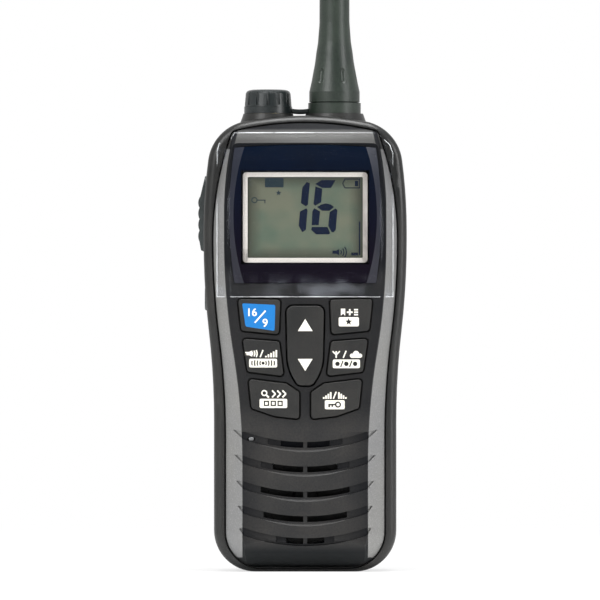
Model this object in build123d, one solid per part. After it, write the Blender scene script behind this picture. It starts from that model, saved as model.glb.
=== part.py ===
"""Floating handheld marine VHF radio, built piece by piece.

Millimetres. +X is the right hand of someone facing the display, +Y points to the back, +Z up.
The origin is the middle of the foot that the radio stands on.
"""
from build123d import *
import math
import os

# ---------------------------------------------------------------- driving dimensions: outer form
case_half_low = 25.4        # half width of the case below the waist bend
case_half_high = 28.3       # half width at the display
case_top = 127.0            # crown of the case, between the two bosses
case_crown_r = 88.0
case_flank_r = 150.0
case_corner_r = 12.65
case_foot_r = 11.5
case_flank_z = 95.0         # the flank starts to lean in above this height
case_bend_z = 42.0          # the waist bend starts here and ends at bend_top_z
bend_top_z = 92.0
case_back_y = 15.25
case_wall = 2.0
case_front_round = 2.4
case_back_round = 4.5

front_inset_low = 3.4       # the front case sinks into the rear case this far inside its flanks
front_inset_high = 2.8
front_inset_top = 2.2
front_crown_r = 85.0
front_flank_r = 85.0
front_corner_r = 1.6
front_foot_z = 1.2
front_foot_r = 10.0
front_bend_z = 38.0
front_wall = 2.0
front_gap = 0.5             # dark line between the front case and the rear case

shoulder_w_low = 4.8        # width of the slanted shoulders beside the middle panel
shoulder_w_high = 3.2
panel_bend_z = 30.0
panel_flank_z = 100.0
panel_flank_r = 95.0

shoulder_y = -8.6           # depth at which the slanted shoulders start
front_y = -15.25            # foremost line of the crowned panel
panel_crown_r = 150.0       # roll of the panel from side to side
nose_y = -16.0              # the shoulders are drawn on to here, then trimmed by the crown
forehead_z = 119.3          # where the forehead slope meets the panel
nose_crown_r = 230.0
nose_flank_r = 310.0
chin_r = 10.85              # roll of the panel under the front edge
trim_skin = 1.3             # level thickness of the side trims
trim_step = 0.25            # the trims start this far outside the panel's edge
trim_top_z = 117.5
trim_foot_z = 4.0

# ---------------------------------------------------------------- driving dimensions: depth stack
inner_y = -12.4             # back of the panel wall
skirt_y = -5.0              # rear edge of the front case
gasket_t = 1.0
ledge_t = 1.6
clear = 0.05                # resting clearance between stacked pieces
display_t = 1.8
guide_t = 2.4
dome_h = 1.25
membrane_t = 1.2
board_t = 1.0
main_board_y = -4.4
main_board_t = 1.2
shield_h = 3.0
chassis_t = 1.6
bay_front_y = 3.0
bay_wall = 1.5
board_margin = 1.0          # the boards reach this far past the battery bay
logic_low_z = 35.4
logic_high_z = 110.6
main_low_z = 12.0
main_high_z = 108.0
chassis_low_z = 15.0
chassis_high_z = 104.0
spacer_r = 2.2
post_r = 1.6
post_rise = 7.0             # the posts between the boards stand this far above the board screws
membrane_h = 36.0
membrane_z = 59.4

# ---------------------------------------------------------------- driving dimensions: window and keys
lens_top_z = 118.7
lens_foot_z = 80.3
lens_margin = 1.2           # from the edge of the panel to the window
lens_side_r = 125.0
lens_facet_w = 1.2
lens_flat_r = 62.0
lens_mid_z = 99.0
lens_back_y = -13.2
lens_fit = 0.15
view_half = 16.0            # visible display
view_low_z = 87.3
view_high_z = 109.8
frame_rim = 1.35
frame_corner_r = 1.0
view_corner_r = 0.35

key_proud = 0.4             # keys stand this far in front of the panel
key_gap = 0.45
key_corner_r = 0.9
key_edge_margin = 2.95      # from the panel edge to the outer edge of a key
key_flange = 0.4
key_flange_t = 0.8
key_travel = 0.7
rocker_half = 5.2
rocker_top_z = 74.0
rocker_foot_z = 51.9
rocker_z = 63.0
rocker_pin_r = 0.8
running_fit = 0.05

grille_arc_r = 52.0
grille_rows = (36.2, 29.4, 22.4, 15.6, 9.5)     # upper edge of each groove at the middle
slot_h = 1.65
slot_rib_half = 0.55
groove_h = 2.2
groove_depth = 0.5
pocket_depth = 1.3
lip_h = 0.6
speaker_z = 20.6
speaker_r = 12.8
speaker_seal_t = 0.9
speaker_seal_w = 2.0
magnet_r = 7.05
magnet_t = 2.9
mic_x = -15.0
mic_z = 37.0
mic_r = 1.95
mic_boot_r = 2.7

# ---------------------------------------------------------------- driving dimensions: top
post_y = 3.0                # depth of the two bosses on the crown
boss_top_z = 127.7
boss_slope = 0.36           # radius gained for each millimetre down
cap_x = -10.35
cap_boss_r = 6.9
cap_r = 6.55
cap_top_z = 134.4
cap_seam_z = 129.7
cap_skirt_r = 5.3
cap_flutes = 13
cap_flute_r = 0.4
cap_bore_top_z = 132.75      # inner ceiling of the cap
cap_neck_r = 4.5
nut_seat_z = 121.0          # flat pads inside the crown that the jack nuts pull against
eyelet_r = 6.7
antenna_x = 8.2
antenna_boss_r = 8.0
spigot_r = 5.1
anchor_r = 7.35
anchor_top_z = 130.7
antenna_seam_z = 130.85
antenna_base_r = 7.05
antenna_base_top_z = 133.8
antenna_rod_r = 4.2
antenna_top_z = 283.0
antenna_flare = ((6.4, 136.7), (5.9, 139.4), (5.4, 142.2), (5.05, 145.0), (4.6, 147.8), (4.4, 150.5))
antenna_rod_z = 153.3       # the flare ends here
grip_recesses = 6
grip_turn = -38.0           # first grip recess, seen from the front
grip_r = 1.0
grip_low_z = 137.0          # centres of a recess's round ends
grip_high_z = 139.6
grip_depth = 0.4
core_r = 1.8
barrel_r = 3.175            # quarter inch thread of the antenna jack
barrel_low_z = 117.0
barrel_top_z = 136.2
plug_r = 5.0
plug_seat_z = 131.9
plug_top_z = 139.0
contact_r = 0.5
feed_r = 0.8
feed_z = 107.0
jack_low_z = 114.0          # accessory jack: foot and top of its neck, socket and contact block
jack_top_z = 132.6
jack_socket_r = 3.3
jack_block_r = 2.2
jack_block_top_z = 128.0
strap_w = 3.2
strap_low_z = 127.85
strap_t = 1.2
ring_nut_r = 6.4
ring_nut_t = 1.8
hex_nut_r = 5.0
hex_nut_t = 1.9

# ---------------------------------------------------------------- driving dimensions: sides and back
button_y = 3.9              # depth of the side buttons
ptt_low_z = 89.0
ptt_high_z = 110.2
ptt_half_w = 5.0
ptt_proud = 1.5
ptt_ribs = 4
ptt_rib_pitch = 3.15
ptt_travel = 0.8
flasher_z = 7.3
flasher_w = 10.0
flasher_h = 3.0
flasher_r = 1.4
power_z = 76.0
power_r = 3.3
power_travel = 0.7
side_fit = 0.3
seal_room = 0.6             # from the case wall to the talk button's flange
flange_t = 0.8
plunger_reach = 2.7         # from a button's flange to the body of its switch
switch_w = 3.6
switch_pin_r = 1.3
switch_pin = 0.8            # a switch's own plunger stands out this far
switch_room = 0.1           # from a switch to the wall of the battery bay
usb_z = 32.5
usb_half_h = 3.9
usb_open_h = 2.7
usb_cover_half = 5.0
usb_cover_t = 1.4
usb_cover_w = 6.9
usb_cover_r = 1.4
usb_swing = 0.75            # room behind the hinge for the cover's edge as it swings open
usb_pin_r = 0.35
usb_knuckle_r = 0.65
usb_hinge_reach = 3.7       # from the middle of the socket to the cover's hinge line
bay_low_z = 16.0
bay_high_z = 86.0
cover_margin = 2.1          # the cover reaches this far past the sides of the bay
cover_low_z = 11.2
cover_high_z = 91.8
cover_t = 1.8
battery_slack = 0.4
cover_grips = 6
cover_grip_low_z = 24.0
cover_grip_pitch = 9.0
cover_grip_h = 1.2
cover_grip_half = 12.0
seal_t = 0.7
contact_half = 6.0
contact_pitch = 4.2
clip_half = 7.5
clip_pin_y = 19.9
clip_pin_z = 112.0
clip_pin_r = 1.0
clip_arm_y = 19.75
clip_arm_t = 1.7
clip_tip_z = 45.0
clip_top_z = 120.0
clip_hub_r = 2.1
clip_hub_in = 2.6           # inner and outer end of each hub of the arm
clip_hub_out = 6.9
clip_plate_half = 9.0
clip_plate_low_z = 99.0
clip_plate_high_z = 119.0
clip_plate_t = 1.4
clip_ear_in = 7.1
clip_ear_out = 8.9
clip_ear_r = 2.4
clip_screw_x = 5.0
clip_screw_z = 103.0
spring_turns = 4
spring_r = 1.75
spring_pitch = 1.0
spring_wire = 0.62
lug_x = 15.5
lug_w = 3.0
lug_z = 102.5
lug_hole_r = 1.8
lug_hole_reach = 2.2        # from the back of the case to the middle of the lanyard hole

shield_cans = ((-12.0, 12.0, 44.0, 76.0), (-15.0, 10.0, 86.0, 106.0))
case_screw_r = 1.0
case_screw_bore_r = 1.25
case_screw_head_r = 2.0
case_screw_well_r = 2.2
case_screw_seat_y = 1.0
case_screw_tip_y = -9.5
case_tube_r = 3.0
case_boss_r = 2.3
board_screw_r = 0.9
board_screw_head_r = 1.8
cover_screw_r = 0.8
cover_screw_head_r = 1.7
case_screw_inset_low = 8.4  # from the flank of the case to the lower and the upper case screws
case_screw_inset_high = 10.0
board_screw_inset = 3.5     # from the side of the bay to the board screws and to the cover screws
cover_screw_inset = 4.0
side_pair = (-1, 1)

# ---------------------------------------------------------------- worked-out widths
front_half_low = case_half_low - front_inset_low
front_half_high = case_half_high - front_inset_high
front_top = case_top - front_inset_top
panel_half_low = front_half_low - shoulder_w_low
panel_half_high = front_half_high - shoulder_w_high
lens_half = panel_half_high - lens_margin
lens_flat_half = lens_half - lens_facet_w
flange_x = -case_half_high + case_wall + seal_room
switch_x = flange_x + flange_t + plunger_reach
bay_half = -switch_x - switch_w - switch_room - bay_wall
board_half = bay_half + board_margin
cover_half = bay_half + cover_margin
case_screws = ((case_half_low - case_screw_inset_low, 7.2), (case_half_high - case_screw_inset_high, 113.5))
board_screws = ((bay_half - board_screw_inset, 38.8), (bay_half - board_screw_inset, 80.8))
cover_screws = ((bay_half - cover_screw_inset, 13.6), (bay_half - cover_screw_inset, 89.0))

# ---------------------------------------------------------------- worked-out planes
ledge_y = skirt_y + gasket_t
ledge_back_y = ledge_y + ledge_t
cavity_back_y = case_back_y - case_wall
display_y = inner_y + clear
guide_y = display_y + display_t + clear
board_y = guide_y + guide_t + 2 * clear
membrane_y = board_y - membrane_t
dome_y = membrane_y - dome_h
key_back_y = inner_y + clear + key_flange_t
plunger_y = dome_y - clear - key_travel
shield_y = main_board_y + main_board_t
chassis_y = bay_front_y - bay_wall - chassis_t
cover_y = case_back_y - cover_t - clear


# ---------------------------------------------------------------- small helpers
def box(x0, x1, y0, y1, z0, z1):
    """Block between two opposite corners."""
    return Pos((x0 + x1) / 2, (y0 + y1) / 2, (z0 + z1) / 2) * Box(x1 - x0, y1 - y0, z1 - z0)


def rod_x(x0, x1, y, z, r):
    """Round bar along X."""
    return Pos((x0 + x1) / 2, y, z) * Rot(0, 90, 0) * Cylinder(r, x1 - x0)


def rod_y(x, y0, y1, z, r):
    """Round bar along Y."""
    return Pos(x, (y0 + y1) / 2, z) * Rot(90, 0, 0) * Cylinder(r, y1 - y0)


def rod_z(x, y, z0, z1, r):
    """Round bar along Z."""
    return Pos(x, y, (z0 + z1) / 2) * Cylinder(r, z1 - z0)


def upright(y):
    """Plane at depth y, drawn with X across and Z up."""
    return Plane(origin=(0, y, 0), x_dir=(1, 0, 0), z_dir=(0, -1, 0))


def slab(flat, y0, y1):
    """Flat outline in the upright plane, given thickness from depth y0 back to depth y1."""
    return extrude(upright(y0) * flat, amount=y1 - y0, dir=(0, 1, 0))


def sideways(flat, x0, x1):
    """Flat outline drawn with Y across and Z up, given thickness from x0 to x1."""
    plane = Plane(origin=(x0, 0, 0), x_dir=(0, 1, 0), z_dir=(1, 0, 0))
    return extrude(plane * flat, amount=x1 - x0, dir=(1, 0, 0))


def turned(points, x, y):
    """Solid of revolution about the upright axis at x, y, from (radius, height) points."""
    plane = Plane(origin=(x, y, 0), x_dir=(1, 0, 0), z_dir=(0, -1, 0))
    profile = plane * make_face(Polyline(*points, close=True))
    return revolve(profile, axis=Axis((x, y, 0), (0, 0, 1)))


def mirrored(points):
    """The same points on the other side of the middle, in reverse order."""
    return [(-x, z) for x, z in reversed(points)]


def fused(pieces):
    """All the pieces of a list as one shape."""
    whole = pieces[0]
    for piece in pieces[1:]:
        whole = whole + piece
    return whole


def both_sides(half0, half1, y0, y1, z0, z1):
    """Two blocks, mirrored about the middle."""
    block = box(half0, half1, y0, y1, z0, z1)
    return [block, block.mirror(Plane.YZ)]


def seg(a, b):
    """Straight edge in the drawing plane."""
    return Edge.make_line((a[0], a[1], 0), (b[0], b[1], 0))


def arc(a, m, b):
    """Arc edge in the drawing plane, through three points."""
    return Edge.make_three_point_arc((a[0], a[1], 0), (m[0], m[1], 0), (b[0], b[1], 0))


def on_circle(centre, radius, degrees):
    """Point of a circle at an angle from +X."""
    angle = math.radians(degrees)
    return (centre[0] + radius * math.cos(angle), centre[1] + radius * math.sin(angle))


def bend_radius(rise, run):
    """Radius of each of the two equal arcs that make an S of this width and height."""
    turn = 2 * math.atan(rise / run)
    return run / 2 / math.sin(turn)


def outline(low, high, foot_z, foot_r, bend_z, flank_z, flank_r, corner_r, top, crown_r, grow=0.0):
    """Closed outline of the radio seen from the front, made larger by grow all round.

    Flat foot, round foot corners, a waist that widens in an S, leaning flanks, crowned top.
    """
    low = low + grow
    high = high + grow
    foot_z = foot_z - grow
    top = top + grow
    foot_r = foot_r + grow
    flank_r = flank_r + grow
    crown_r = crown_r + grow
    corner_r = max(corner_r + grow, 0.3)
    bend_r = bend_radius(high - low, bend_top_z - bend_z)
    half_turn = math.degrees(math.atan((high - low) / (bend_top_z - bend_z)))
    lower = (low + bend_r, bend_z)
    upper = (high - bend_r, bend_top_z)
    flank = (high - flank_r, flank_z)
    crown = (0.0, top - crown_r)
    span = math.dist(flank, crown)
    to_flank = flank_r - corner_r
    to_crown = crown_r - corner_r
    along = (to_flank**2 - to_crown**2 + span**2) / (2 * span)
    off = math.sqrt(to_flank**2 - along**2)
    ux = (crown[0] - flank[0]) / span
    uz = (crown[1] - flank[1]) / span
    pair = [(flank[0] + along * ux + s * off * uz, flank[1] + along * uz - s * off * ux) for s in (1, -1)]
    corner = max(pair)
    lean = math.degrees(math.atan2(corner[1] - flank[1], corner[0] - flank[0]))
    slope = math.degrees(math.atan2(corner[1] - crown[1], corner[0] - crown[0]))
    foot = (low - foot_r, foot_z + foot_r)
    stops = [
        on_circle(foot, foot_r, -90),
        on_circle(foot, foot_r, -45),
        on_circle(foot, foot_r, 0),
        (low, bend_z),
        on_circle(lower, bend_r, 180 - half_turn),
        on_circle(lower, bend_r, 180 - 2 * half_turn),
        on_circle(upper, bend_r, -half_turn),
        (high, bend_top_z),
        (high, flank_z),
        on_circle(flank, flank_r, lean / 2),
        on_circle(flank, flank_r, lean),
        on_circle(corner, corner_r, (lean + slope) / 2),
        on_circle(crown, crown_r, slope),
    ]
    left = mirrored(stops)
    edges = [
        seg(left[-1], stops[0]),
        arc(stops[0], stops[1], stops[2]),
        seg(stops[2], stops[3]),
        arc(stops[3], stops[4], stops[5]),
        arc(stops[5], stops[6], stops[7]),
        seg(stops[7], stops[8]),
        arc(stops[8], stops[9], stops[10]),
        arc(stops[10], stops[11], stops[12]),
        arc(stops[12], (0.0, top), left[0]),
        arc(left[0], left[1], left[2]),
        arc(left[2], left[3], left[4]),
        seg(left[4], left[5]),
        arc(left[5], left[6], left[7]),
        arc(left[7], left[8], left[9]),
        seg(left[9], left[10]),
        arc(left[10], left[11], left[12]),
    ]
    return Wire(edges)


def case_outline(grow=0.0):
    """Outline of the rear case."""
    return outline(case_half_low, case_half_high, 0.0, case_foot_r, case_bend_z, case_flank_z, case_flank_r,
                   case_corner_r, case_top, case_crown_r, grow)


def front_outline(grow=0.0):
    """Outline of the front case where it sinks into the rear case."""
    return outline(front_half_low, front_half_high, front_foot_z, front_foot_r, front_bend_z, bend_top_z + 0.5,
                   front_flank_r, front_corner_r, front_top, front_crown_r, grow)


def crown_y(x, proud=0.0):
    """Depth of the crowned panel surface at x."""
    radius = panel_crown_r + proud
    return front_y + panel_crown_r - math.sqrt(radius**2 - x**2)


def nose_half(front_half, edge_half):
    """Half width of a shoulder drawn on to the nose plane, through the edge of the panel."""
    reach = (shoulder_y - nose_y) / (shoulder_y - crown_y(edge_half))
    return front_half - (front_half - edge_half) * reach


def nose_outline(grow=0.0):
    """Outline that the slanted shoulders reach in the nose plane."""
    reach = (shoulder_y - nose_y) / (shoulder_y - front_y)
    top = front_top - (front_top - forehead_z) * reach
    return outline(nose_half(front_half_low, panel_half_low), nose_half(front_half_high, panel_half_high),
                   front_foot_z, front_foot_r - 1.0, panel_bend_z - 2.0, panel_flank_z, nose_flank_r,
                   front_corner_r + 0.4, top, nose_crown_r, grow)


def panel_outline(grow=0.0):
    """Outline of the middle panel between the trims, drawn on past the top and foot."""
    return outline(panel_half_low, panel_half_high, -10.0, 5.0, panel_bend_z, panel_flank_z, panel_flank_r,
                   front_corner_r, case_top, front_crown_r, grow)


def panel_half(z):
    """Half width of the middle panel at a height within its waist bend."""
    radius = bend_radius(panel_half_high - panel_half_low, bend_top_z - panel_bend_z)
    if z <= (panel_bend_z + bend_top_z) / 2:
        return panel_half_low + radius - math.sqrt(radius**2 - (z - panel_bend_z) ** 2)
    return panel_half_high - radius + math.sqrt(radius**2 - (bend_top_z - z) ** 2)


def crowned(y_back, proud=0.0):
    """Everything behind the crowned panel surface, back to depth y_back."""
    reach = case_half_high + 5
    low = (-reach, crown_y(reach, proud), 0)
    high = (reach, crown_y(reach, proud), 0)
    edges = [
        Edge.make_three_point_arc(low, (0, crown_y(0, proud), 0), high),
        Edge.make_line(high, (reach, y_back, 0)),
        Edge.make_line((reach, y_back, 0), (-reach, y_back, 0)),
        Edge.make_line((-reach, y_back, 0), low),
    ]
    body = extrude(Face(Wire(edges)), amount=case_top + 40, dir=(0, 0, 1))
    return Pos(0, 0, -20) * body


def chinned(inset):
    """Everything above the rolled chin of the front case."""
    radius = chin_r - inset
    centre = (front_y - 0.1 + chin_r, front_foot_z + chin_r)
    start = (centre[0] - radius, centre[1])
    end = (centre[0], centre[1] - radius)
    back = case_back_y + 5
    high = case_top + 20
    edges = [
        arc(start, on_circle(centre, radius, -135), end),
        seg(end, (back, end[1])),
        seg((back, end[1]), (back, high)),
        seg((back, high), (start[0], high)),
        seg((start[0], high), start),
    ]
    return sideways(Face(Wire(edges)), -40, 40)


def front_hull(inset):
    """Shoulders and skirt of the front case, shrunk by inset, before the crown trims them."""
    base = upright(shoulder_y) * front_outline(-inset)
    nose = upright(nose_y) * nose_outline(-inset)
    shoulders = Solid.make_loft([nose, base], ruled=True)
    skirt = slab(Face(front_outline(-inset)), shoulder_y, skirt_y)
    return (skirt + shoulders) & chinned(inset)


def front_block(inset):
    """The front case as a full block, shrunk by inset on every side but the back."""
    return front_hull(inset) & crowned(skirt_y + 5, -inset)


# ---------------------------------------------------------------- outlines on the panel
def lens_outline(half, side_r, grow=0.0):
    """Window outline: bowed sides, slightly arched top, level foot."""
    centre_x = half - side_r
    top = lens_top_z + grow
    foot = lens_foot_z - grow
    reach = side_r + grow

    def side(z):
        return centre_x + math.sqrt(reach**2 - (z - lens_mid_z) ** 2)

    arch = top - side(top) ** 2 / (2 * nose_crown_r)
    edges = [
        seg((-side(foot), foot), (side(foot), foot)),
        arc((side(foot), foot), (half + grow, lens_mid_z), (side(arch), arch)),
        arc((side(arch), arch), (0, top), (-side(arch), arch)),
        arc((-side(arch), arch), (-half - grow, lens_mid_z), (-side(foot), foot)),
    ]
    return Wire(edges)


def round_face(points, radius, grow=0.0):
    """Polygon with rounded corners, made larger by grow all round."""
    face = make_face(Polyline(*points, close=True))
    if grow:
        face = offset(face, amount=grow, kind=Kind.INTERSECTION)
    return fillet(face.vertices(), radius + max(grow, 0))


def outer_edge(z):
    """Outer edge of the keys at a height."""
    return panel_half(z) - key_edge_margin


def key_points():
    """Corner points of the three keys on the right-hand side, upper one first."""
    upper = [(6.9, 75.7), (outer_edge(75.9), 75.9), (outer_edge(67.1), 67.1), (7.3, 66.1)]
    middle = [(7.2, 64.1), (outer_edge(64.9), 64.9), (outer_edge(55.7), 55.7), (6.0, 54.5)]
    lower = [(5.2, 52.4), (outer_edge(53.7), 53.7), (outer_edge(45.6), 45.6), (8.6, 43.4), (1.65, 42.6),
             (1.65, 50.0)]
    return upper, middle, lower


def key_outline(row, side, grow=0.0):
    """Outline of one key: row 0 to 2 from the top, side -1 or 1."""
    points = [(side * x, z) for x, z in key_points()[row]]
    return round_face(points, key_corner_r, grow)


def rocker_outline(grow=0.0):
    """Outline of the up/down key: square shoulders, tapered round foot."""
    half = rocker_half
    shoulder = rocker_top_z - 1.9
    waist = rocker_foot_z + 8.2
    points = [(half - 1.9, rocker_top_z), (half, shoulder), (half - 0.25, waist), (half - 2.4, rocker_foot_z + 1.3),
              (1.2, rocker_foot_z)]
    edges = [
        arc(points[0], on_circle((half - 1.9, shoulder), 1.9, 45), points[1]),
        seg(points[1], points[2]),
        arc(points[2], (half - 0.95, rocker_foot_z + 4.2), points[3]),
        arc(points[3], (half - 3.0, rocker_foot_z + 0.45), points[4]),
    ]
    left = [edge.mirror(Plane.YZ) for edge in edges]
    edges += left
    edges.append(seg(points[4], (-points[4][0], points[4][1])))
    edges.append(seg((-points[0][0], points[0][1]), points[0]))
    face = Face(Wire(edges))
    return offset(face, amount=grow) if grow else face


def smile(z_top, height, x0, x1):
    """Curved slot under a groove's upper edge, from x0 to x1."""
    def level(x):
        return z_top + grille_arc_r - math.sqrt(grille_arc_r**2 - x**2)

    mid = (x0 + x1) / 2
    edges = [
        arc((x0, level(x0)), (mid, level(mid)), (x1, level(x1))),
        seg((x1, level(x1)), (x1, level(x1) - height)),
        arc((x1, level(x1) - height), (mid, level(mid) - height), (x0, level(x0) - height)),
        seg((x0, level(x0) - height), (x0, level(x0))),
    ]
    return Face(Wire(edges))


def groove_outline(z_top, tip_x):
    """Shallow groove across the panel whose pointed ends curl up over the trims."""
    bend_x = panel_half_low

    def level(x):
        return z_top + grille_arc_r - math.sqrt(grille_arc_r**2 - x**2)

    tip = (tip_x, level(tip_x) - 0.7)
    over = (bend_x, level(bend_x))
    under = (bend_x, level(bend_x) - groove_h)
    edges = [
        arc((-over[0], over[1]), (0, z_top), over),
        seg(over, tip),
        seg(tip, under),
        arc(under, (0, z_top - groove_h), (-under[0], under[1])),
        seg((-under[0], under[1]), (-tip[0], tip[1])),
        seg((-tip[0], tip[1]), (-over[0], over[1])),
    ]
    return Face(Wire(edges))


def slot_reach(row):
    """Half width of the open slot and of its pocket, for one groove of the grille."""
    open_half = (6.8, 9.0, 12.35, 11.6, 5.3)[row]
    pocket_half = (10.4, 12.3, 12.35, 11.6, 8.1)[row]
    return open_half, pocket_half


# ---------------------------------------------------------------- cases and trims
def trim_space():
    """Everything outside the middle panel and the front case's inner shoulders, ahead of its skirt."""
    space = box(-40, 40, nose_y - 1, shoulder_y, trim_foot_z, trim_top_z)
    return space - slab(Face(panel_outline(trim_step)), nose_y - 2, skirt_y + 1) - front_block(trim_skin)


def make_trims(space, grille):
    """The two metallic skins on the slanted shoulders, with the ends of the grooves in them."""
    skin = front_block(0) & space
    return (skin - grille).solids().sort_by(Axis.X)


def make_front_case(space, grille):
    """Front case with its window, key openings, grille, inner posts and speaker collar."""
    body = front_block(0) - space
    hollow = front_hull(front_wall) & box(-40, 40, inner_y, skirt_y + 1, -5, 140)
    body = body - hollow
    inside = front_block(trim_skin + 0.2)
    collar = rod_y(0, inner_y - 0.5, inner_y + 3.2, speaker_z, speaker_r + 1.4)
    collar = collar - rod_y(0, inner_y - 1, inner_y + 4, speaker_z, speaker_r + 0.15)
    body = body + (collar & inside)
    body = body - rod_y(0, inner_y, inner_y + 4, speaker_z, speaker_r + 0.15)
    for x, z in case_screws:
        for side in side_pair:
            boss = rod_y(side * x, inner_y - 0.5, ledge_y, z, case_boss_r)
            body = body + (boss & (inside + slab(Face(front_outline(-front_wall)), skirt_y, ledge_y)))
            body = body - rod_y(side * x, case_screw_tip_y - 0.5, ledge_y + 1, z, case_screw_r)
    body = body - slab(Face(lens_outline(lens_half, lens_side_r, lens_fit)), nose_y - 1, lens_back_y)
    body = body - slab(frame_outline(0), lens_back_y - 1, inner_y + 1)
    for row in range(3):
        for side in side_pair:
            body = body - slab(key_outline(row, side, key_gap), nose_y - 1, inner_y + 1)
    body = body - slab(rocker_outline(key_gap), nose_y - 1, inner_y + 1)
    for lug in both_sides(rocker_half - 1.3, rocker_half + 0.7, inner_y - 1.1, inner_y + 1.2, rocker_z - 1.3,
                          rocker_z + 1.3):
        body = body + lug
    body = body - rod_x(-rocker_half - 0.2, rocker_half + 0.2, inner_y, rocker_z, rocker_pin_r + running_fit)
    mic_port = slab(Pos(mic_x, mic_z) * Ellipse(1.15, 0.55), nose_y - 1, inner_y + 1)
    return body - grille - mic_port


def grille_cuts():
    """Grooves, lips, pockets and open slots of the speaker grille."""
    skin = front_block(0) - front_block(groove_depth)
    cuts = None
    for row, z_top in enumerate(grille_rows):
        open_half, pocket_half = slot_reach(row)
        groove = slab(groove_outline(z_top, 20.1 - 0.45 * row), nose_y - 1, shoulder_y - 0.1) & skin
        middle_z = z_top - groove_h + grille_arc_r
        wedge = make_face(Polyline((grille_arc_r - 0.2, nose_y), (grille_arc_r - 0.2, front_y + groove_depth),
                                   (grille_arc_r, front_y + groove_depth), (grille_arc_r + lip_h, front_y),
                                   (grille_arc_r + lip_h, nose_y), close=True))
        ring = revolve(wedge, axis=Axis((0, 0, 0), (0, 1, 0)))
        lip = (Pos(0, 0, middle_z) * ring) & box(-14, 14, nose_y - 1, inner_y, -5, z_top + 3)
        cut = groove + lip
        for side in side_pair:
            x0 = min(side * slot_rib_half, side * pocket_half)
            x1 = max(side * slot_rib_half, side * pocket_half)
            cut = cut + slab(smile(z_top, slot_h, x0, x1), nose_y - 1, front_y + pocket_depth)
            x0 = min(side * slot_rib_half, side * open_half)
            x1 = max(side * slot_rib_half, side * open_half)
            floor_y = inner_y + 0.5 if row else inner_y - 0.7
            cut = cut + slab(smile(z_top, slot_h, x0, x1), nose_y - 1, floor_y)
        cuts = cut if cuts is None else cuts + cut
    return cuts


def make_rear_case():
    """Rear case: tub with bosses on its crown, battery bay, button openings and rear lug."""
    body = slab(Face(case_outline()), shoulder_y, case_back_y)
    front_edges = body.faces().sort_by(Axis.Y)[0].edges()
    body = fillet(front_edges, case_front_round)
    back_edges = body.faces().sort_by(Axis.Y)[-1].edges()
    body = fillet(back_edges, case_back_round)
    for x, r in ((cap_x, cap_boss_r), (antenna_x, antenna_boss_r)):
        low = case_top - 6
        body = body + turned([(0, low), (r + boss_slope * (boss_top_z - low), low), (r, boss_top_z),
                              (0, boss_top_z)], x, post_y)
    body = body + rod_z(antenna_x, post_y, boss_top_z - 1, anchor_top_z, spigot_r)
    body = body - slab(Face(front_outline(front_gap)), shoulder_y - 1, ledge_y)
    body = body - slab(Face(front_outline(-1.8)), ledge_y - 0.5, ledge_back_y + 0.5)
    body = body - slab(Face(case_outline(-case_wall)), ledge_back_y, cavity_back_y)
    bay = box(-bay_half - bay_wall, bay_half + bay_wall, bay_front_y - bay_wall, cover_y,
              bay_low_z - 4, bay_high_z + 4)
    rim = box(-cover_half - 1.6, cover_half + 1.6, cover_y - 2.2, cavity_back_y + 0.5, cover_low_z - 1.6,
              cover_high_z + 1.6)
    inside = slab(Face(case_outline(-case_wall / 2)), ledge_back_y, case_back_y - 1)
    body = body + (bay & inside) + (rim & inside)
    tubes = [rod_y(side * x, ledge_y, cavity_back_y + 0.5, z, case_tube_r)
             for x, z in case_screws for side in side_pair]
    body = body + (fused(tubes) & slab(Face(case_outline(-case_wall / 2)), ledge_y, case_back_y - 1))
    for x, z in case_screws:
        for side in side_pair:
            body = body - rod_y(side * x, ledge_y - 1, case_back_y + 1, z, case_screw_bore_r)
            body = body - rod_y(side * x, case_screw_seat_y, case_back_y + 1, z, case_screw_well_r)
    body = body - box(-bay_half, bay_half, bay_front_y, case_back_y + 1, bay_low_z, bay_high_z)
    recess = Pos(0, (cover_low_z + cover_high_z) / 2) * RectangleRounded(
        2 * cover_half + 0.2, cover_high_z - cover_low_z + 0.2, 3.1)
    body = body - slab(recess, cover_y, case_back_y + 1)
    for x, z in cover_screws:
        for side in side_pair:
            body = body - rod_y(side * x, cover_y - 6, case_back_y + 1, z, cover_screw_r)
    for x, z in board_screws:
        for side in side_pair:
            body = body - rod_y(side * x, chassis_y, bay_front_y - 0.3, z, board_screw_r)
    for x, r in ((cap_x, ring_nut_r + 0.5), (antenna_x, hex_nut_r + 1.4)):
        body = body + rod_z(x, post_y, nut_seat_z, case_top - 2, r)
    body = body + clip_bosses() + make_lug()
    body = body - port_cuts()
    for low in (usb_z - usb_cover_half - 0.8, usb_z + usb_cover_half - 2.0):
        body = body + rod_z(usb_pin_x(), usb_pin_y(), low, low + 2.8, usb_pin_r)
    return body


def clip_bosses():
    """Two threaded bosses inside the back wall that the belt clip's screws bite into."""
    return fused([rod_y(side * clip_screw_x, cavity_back_y - 3.5, cavity_back_y + 0.5, clip_screw_z, 2.2)
                  for side in side_pair])


def make_lug():
    """Lanyard eye on the back, with its hole running sideways."""
    plate = Pos(case_back_y + 1.0, lug_z) * RectangleRounded(8.0, 8.4, 3.6)
    behind = box(0, 40, cavity_back_y + 0.4, case_back_y + 15, lug_z - 10, lug_z + 10)
    return sideways(plate, lug_x - lug_w / 2, lug_x + lug_w / 2) & behind


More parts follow.
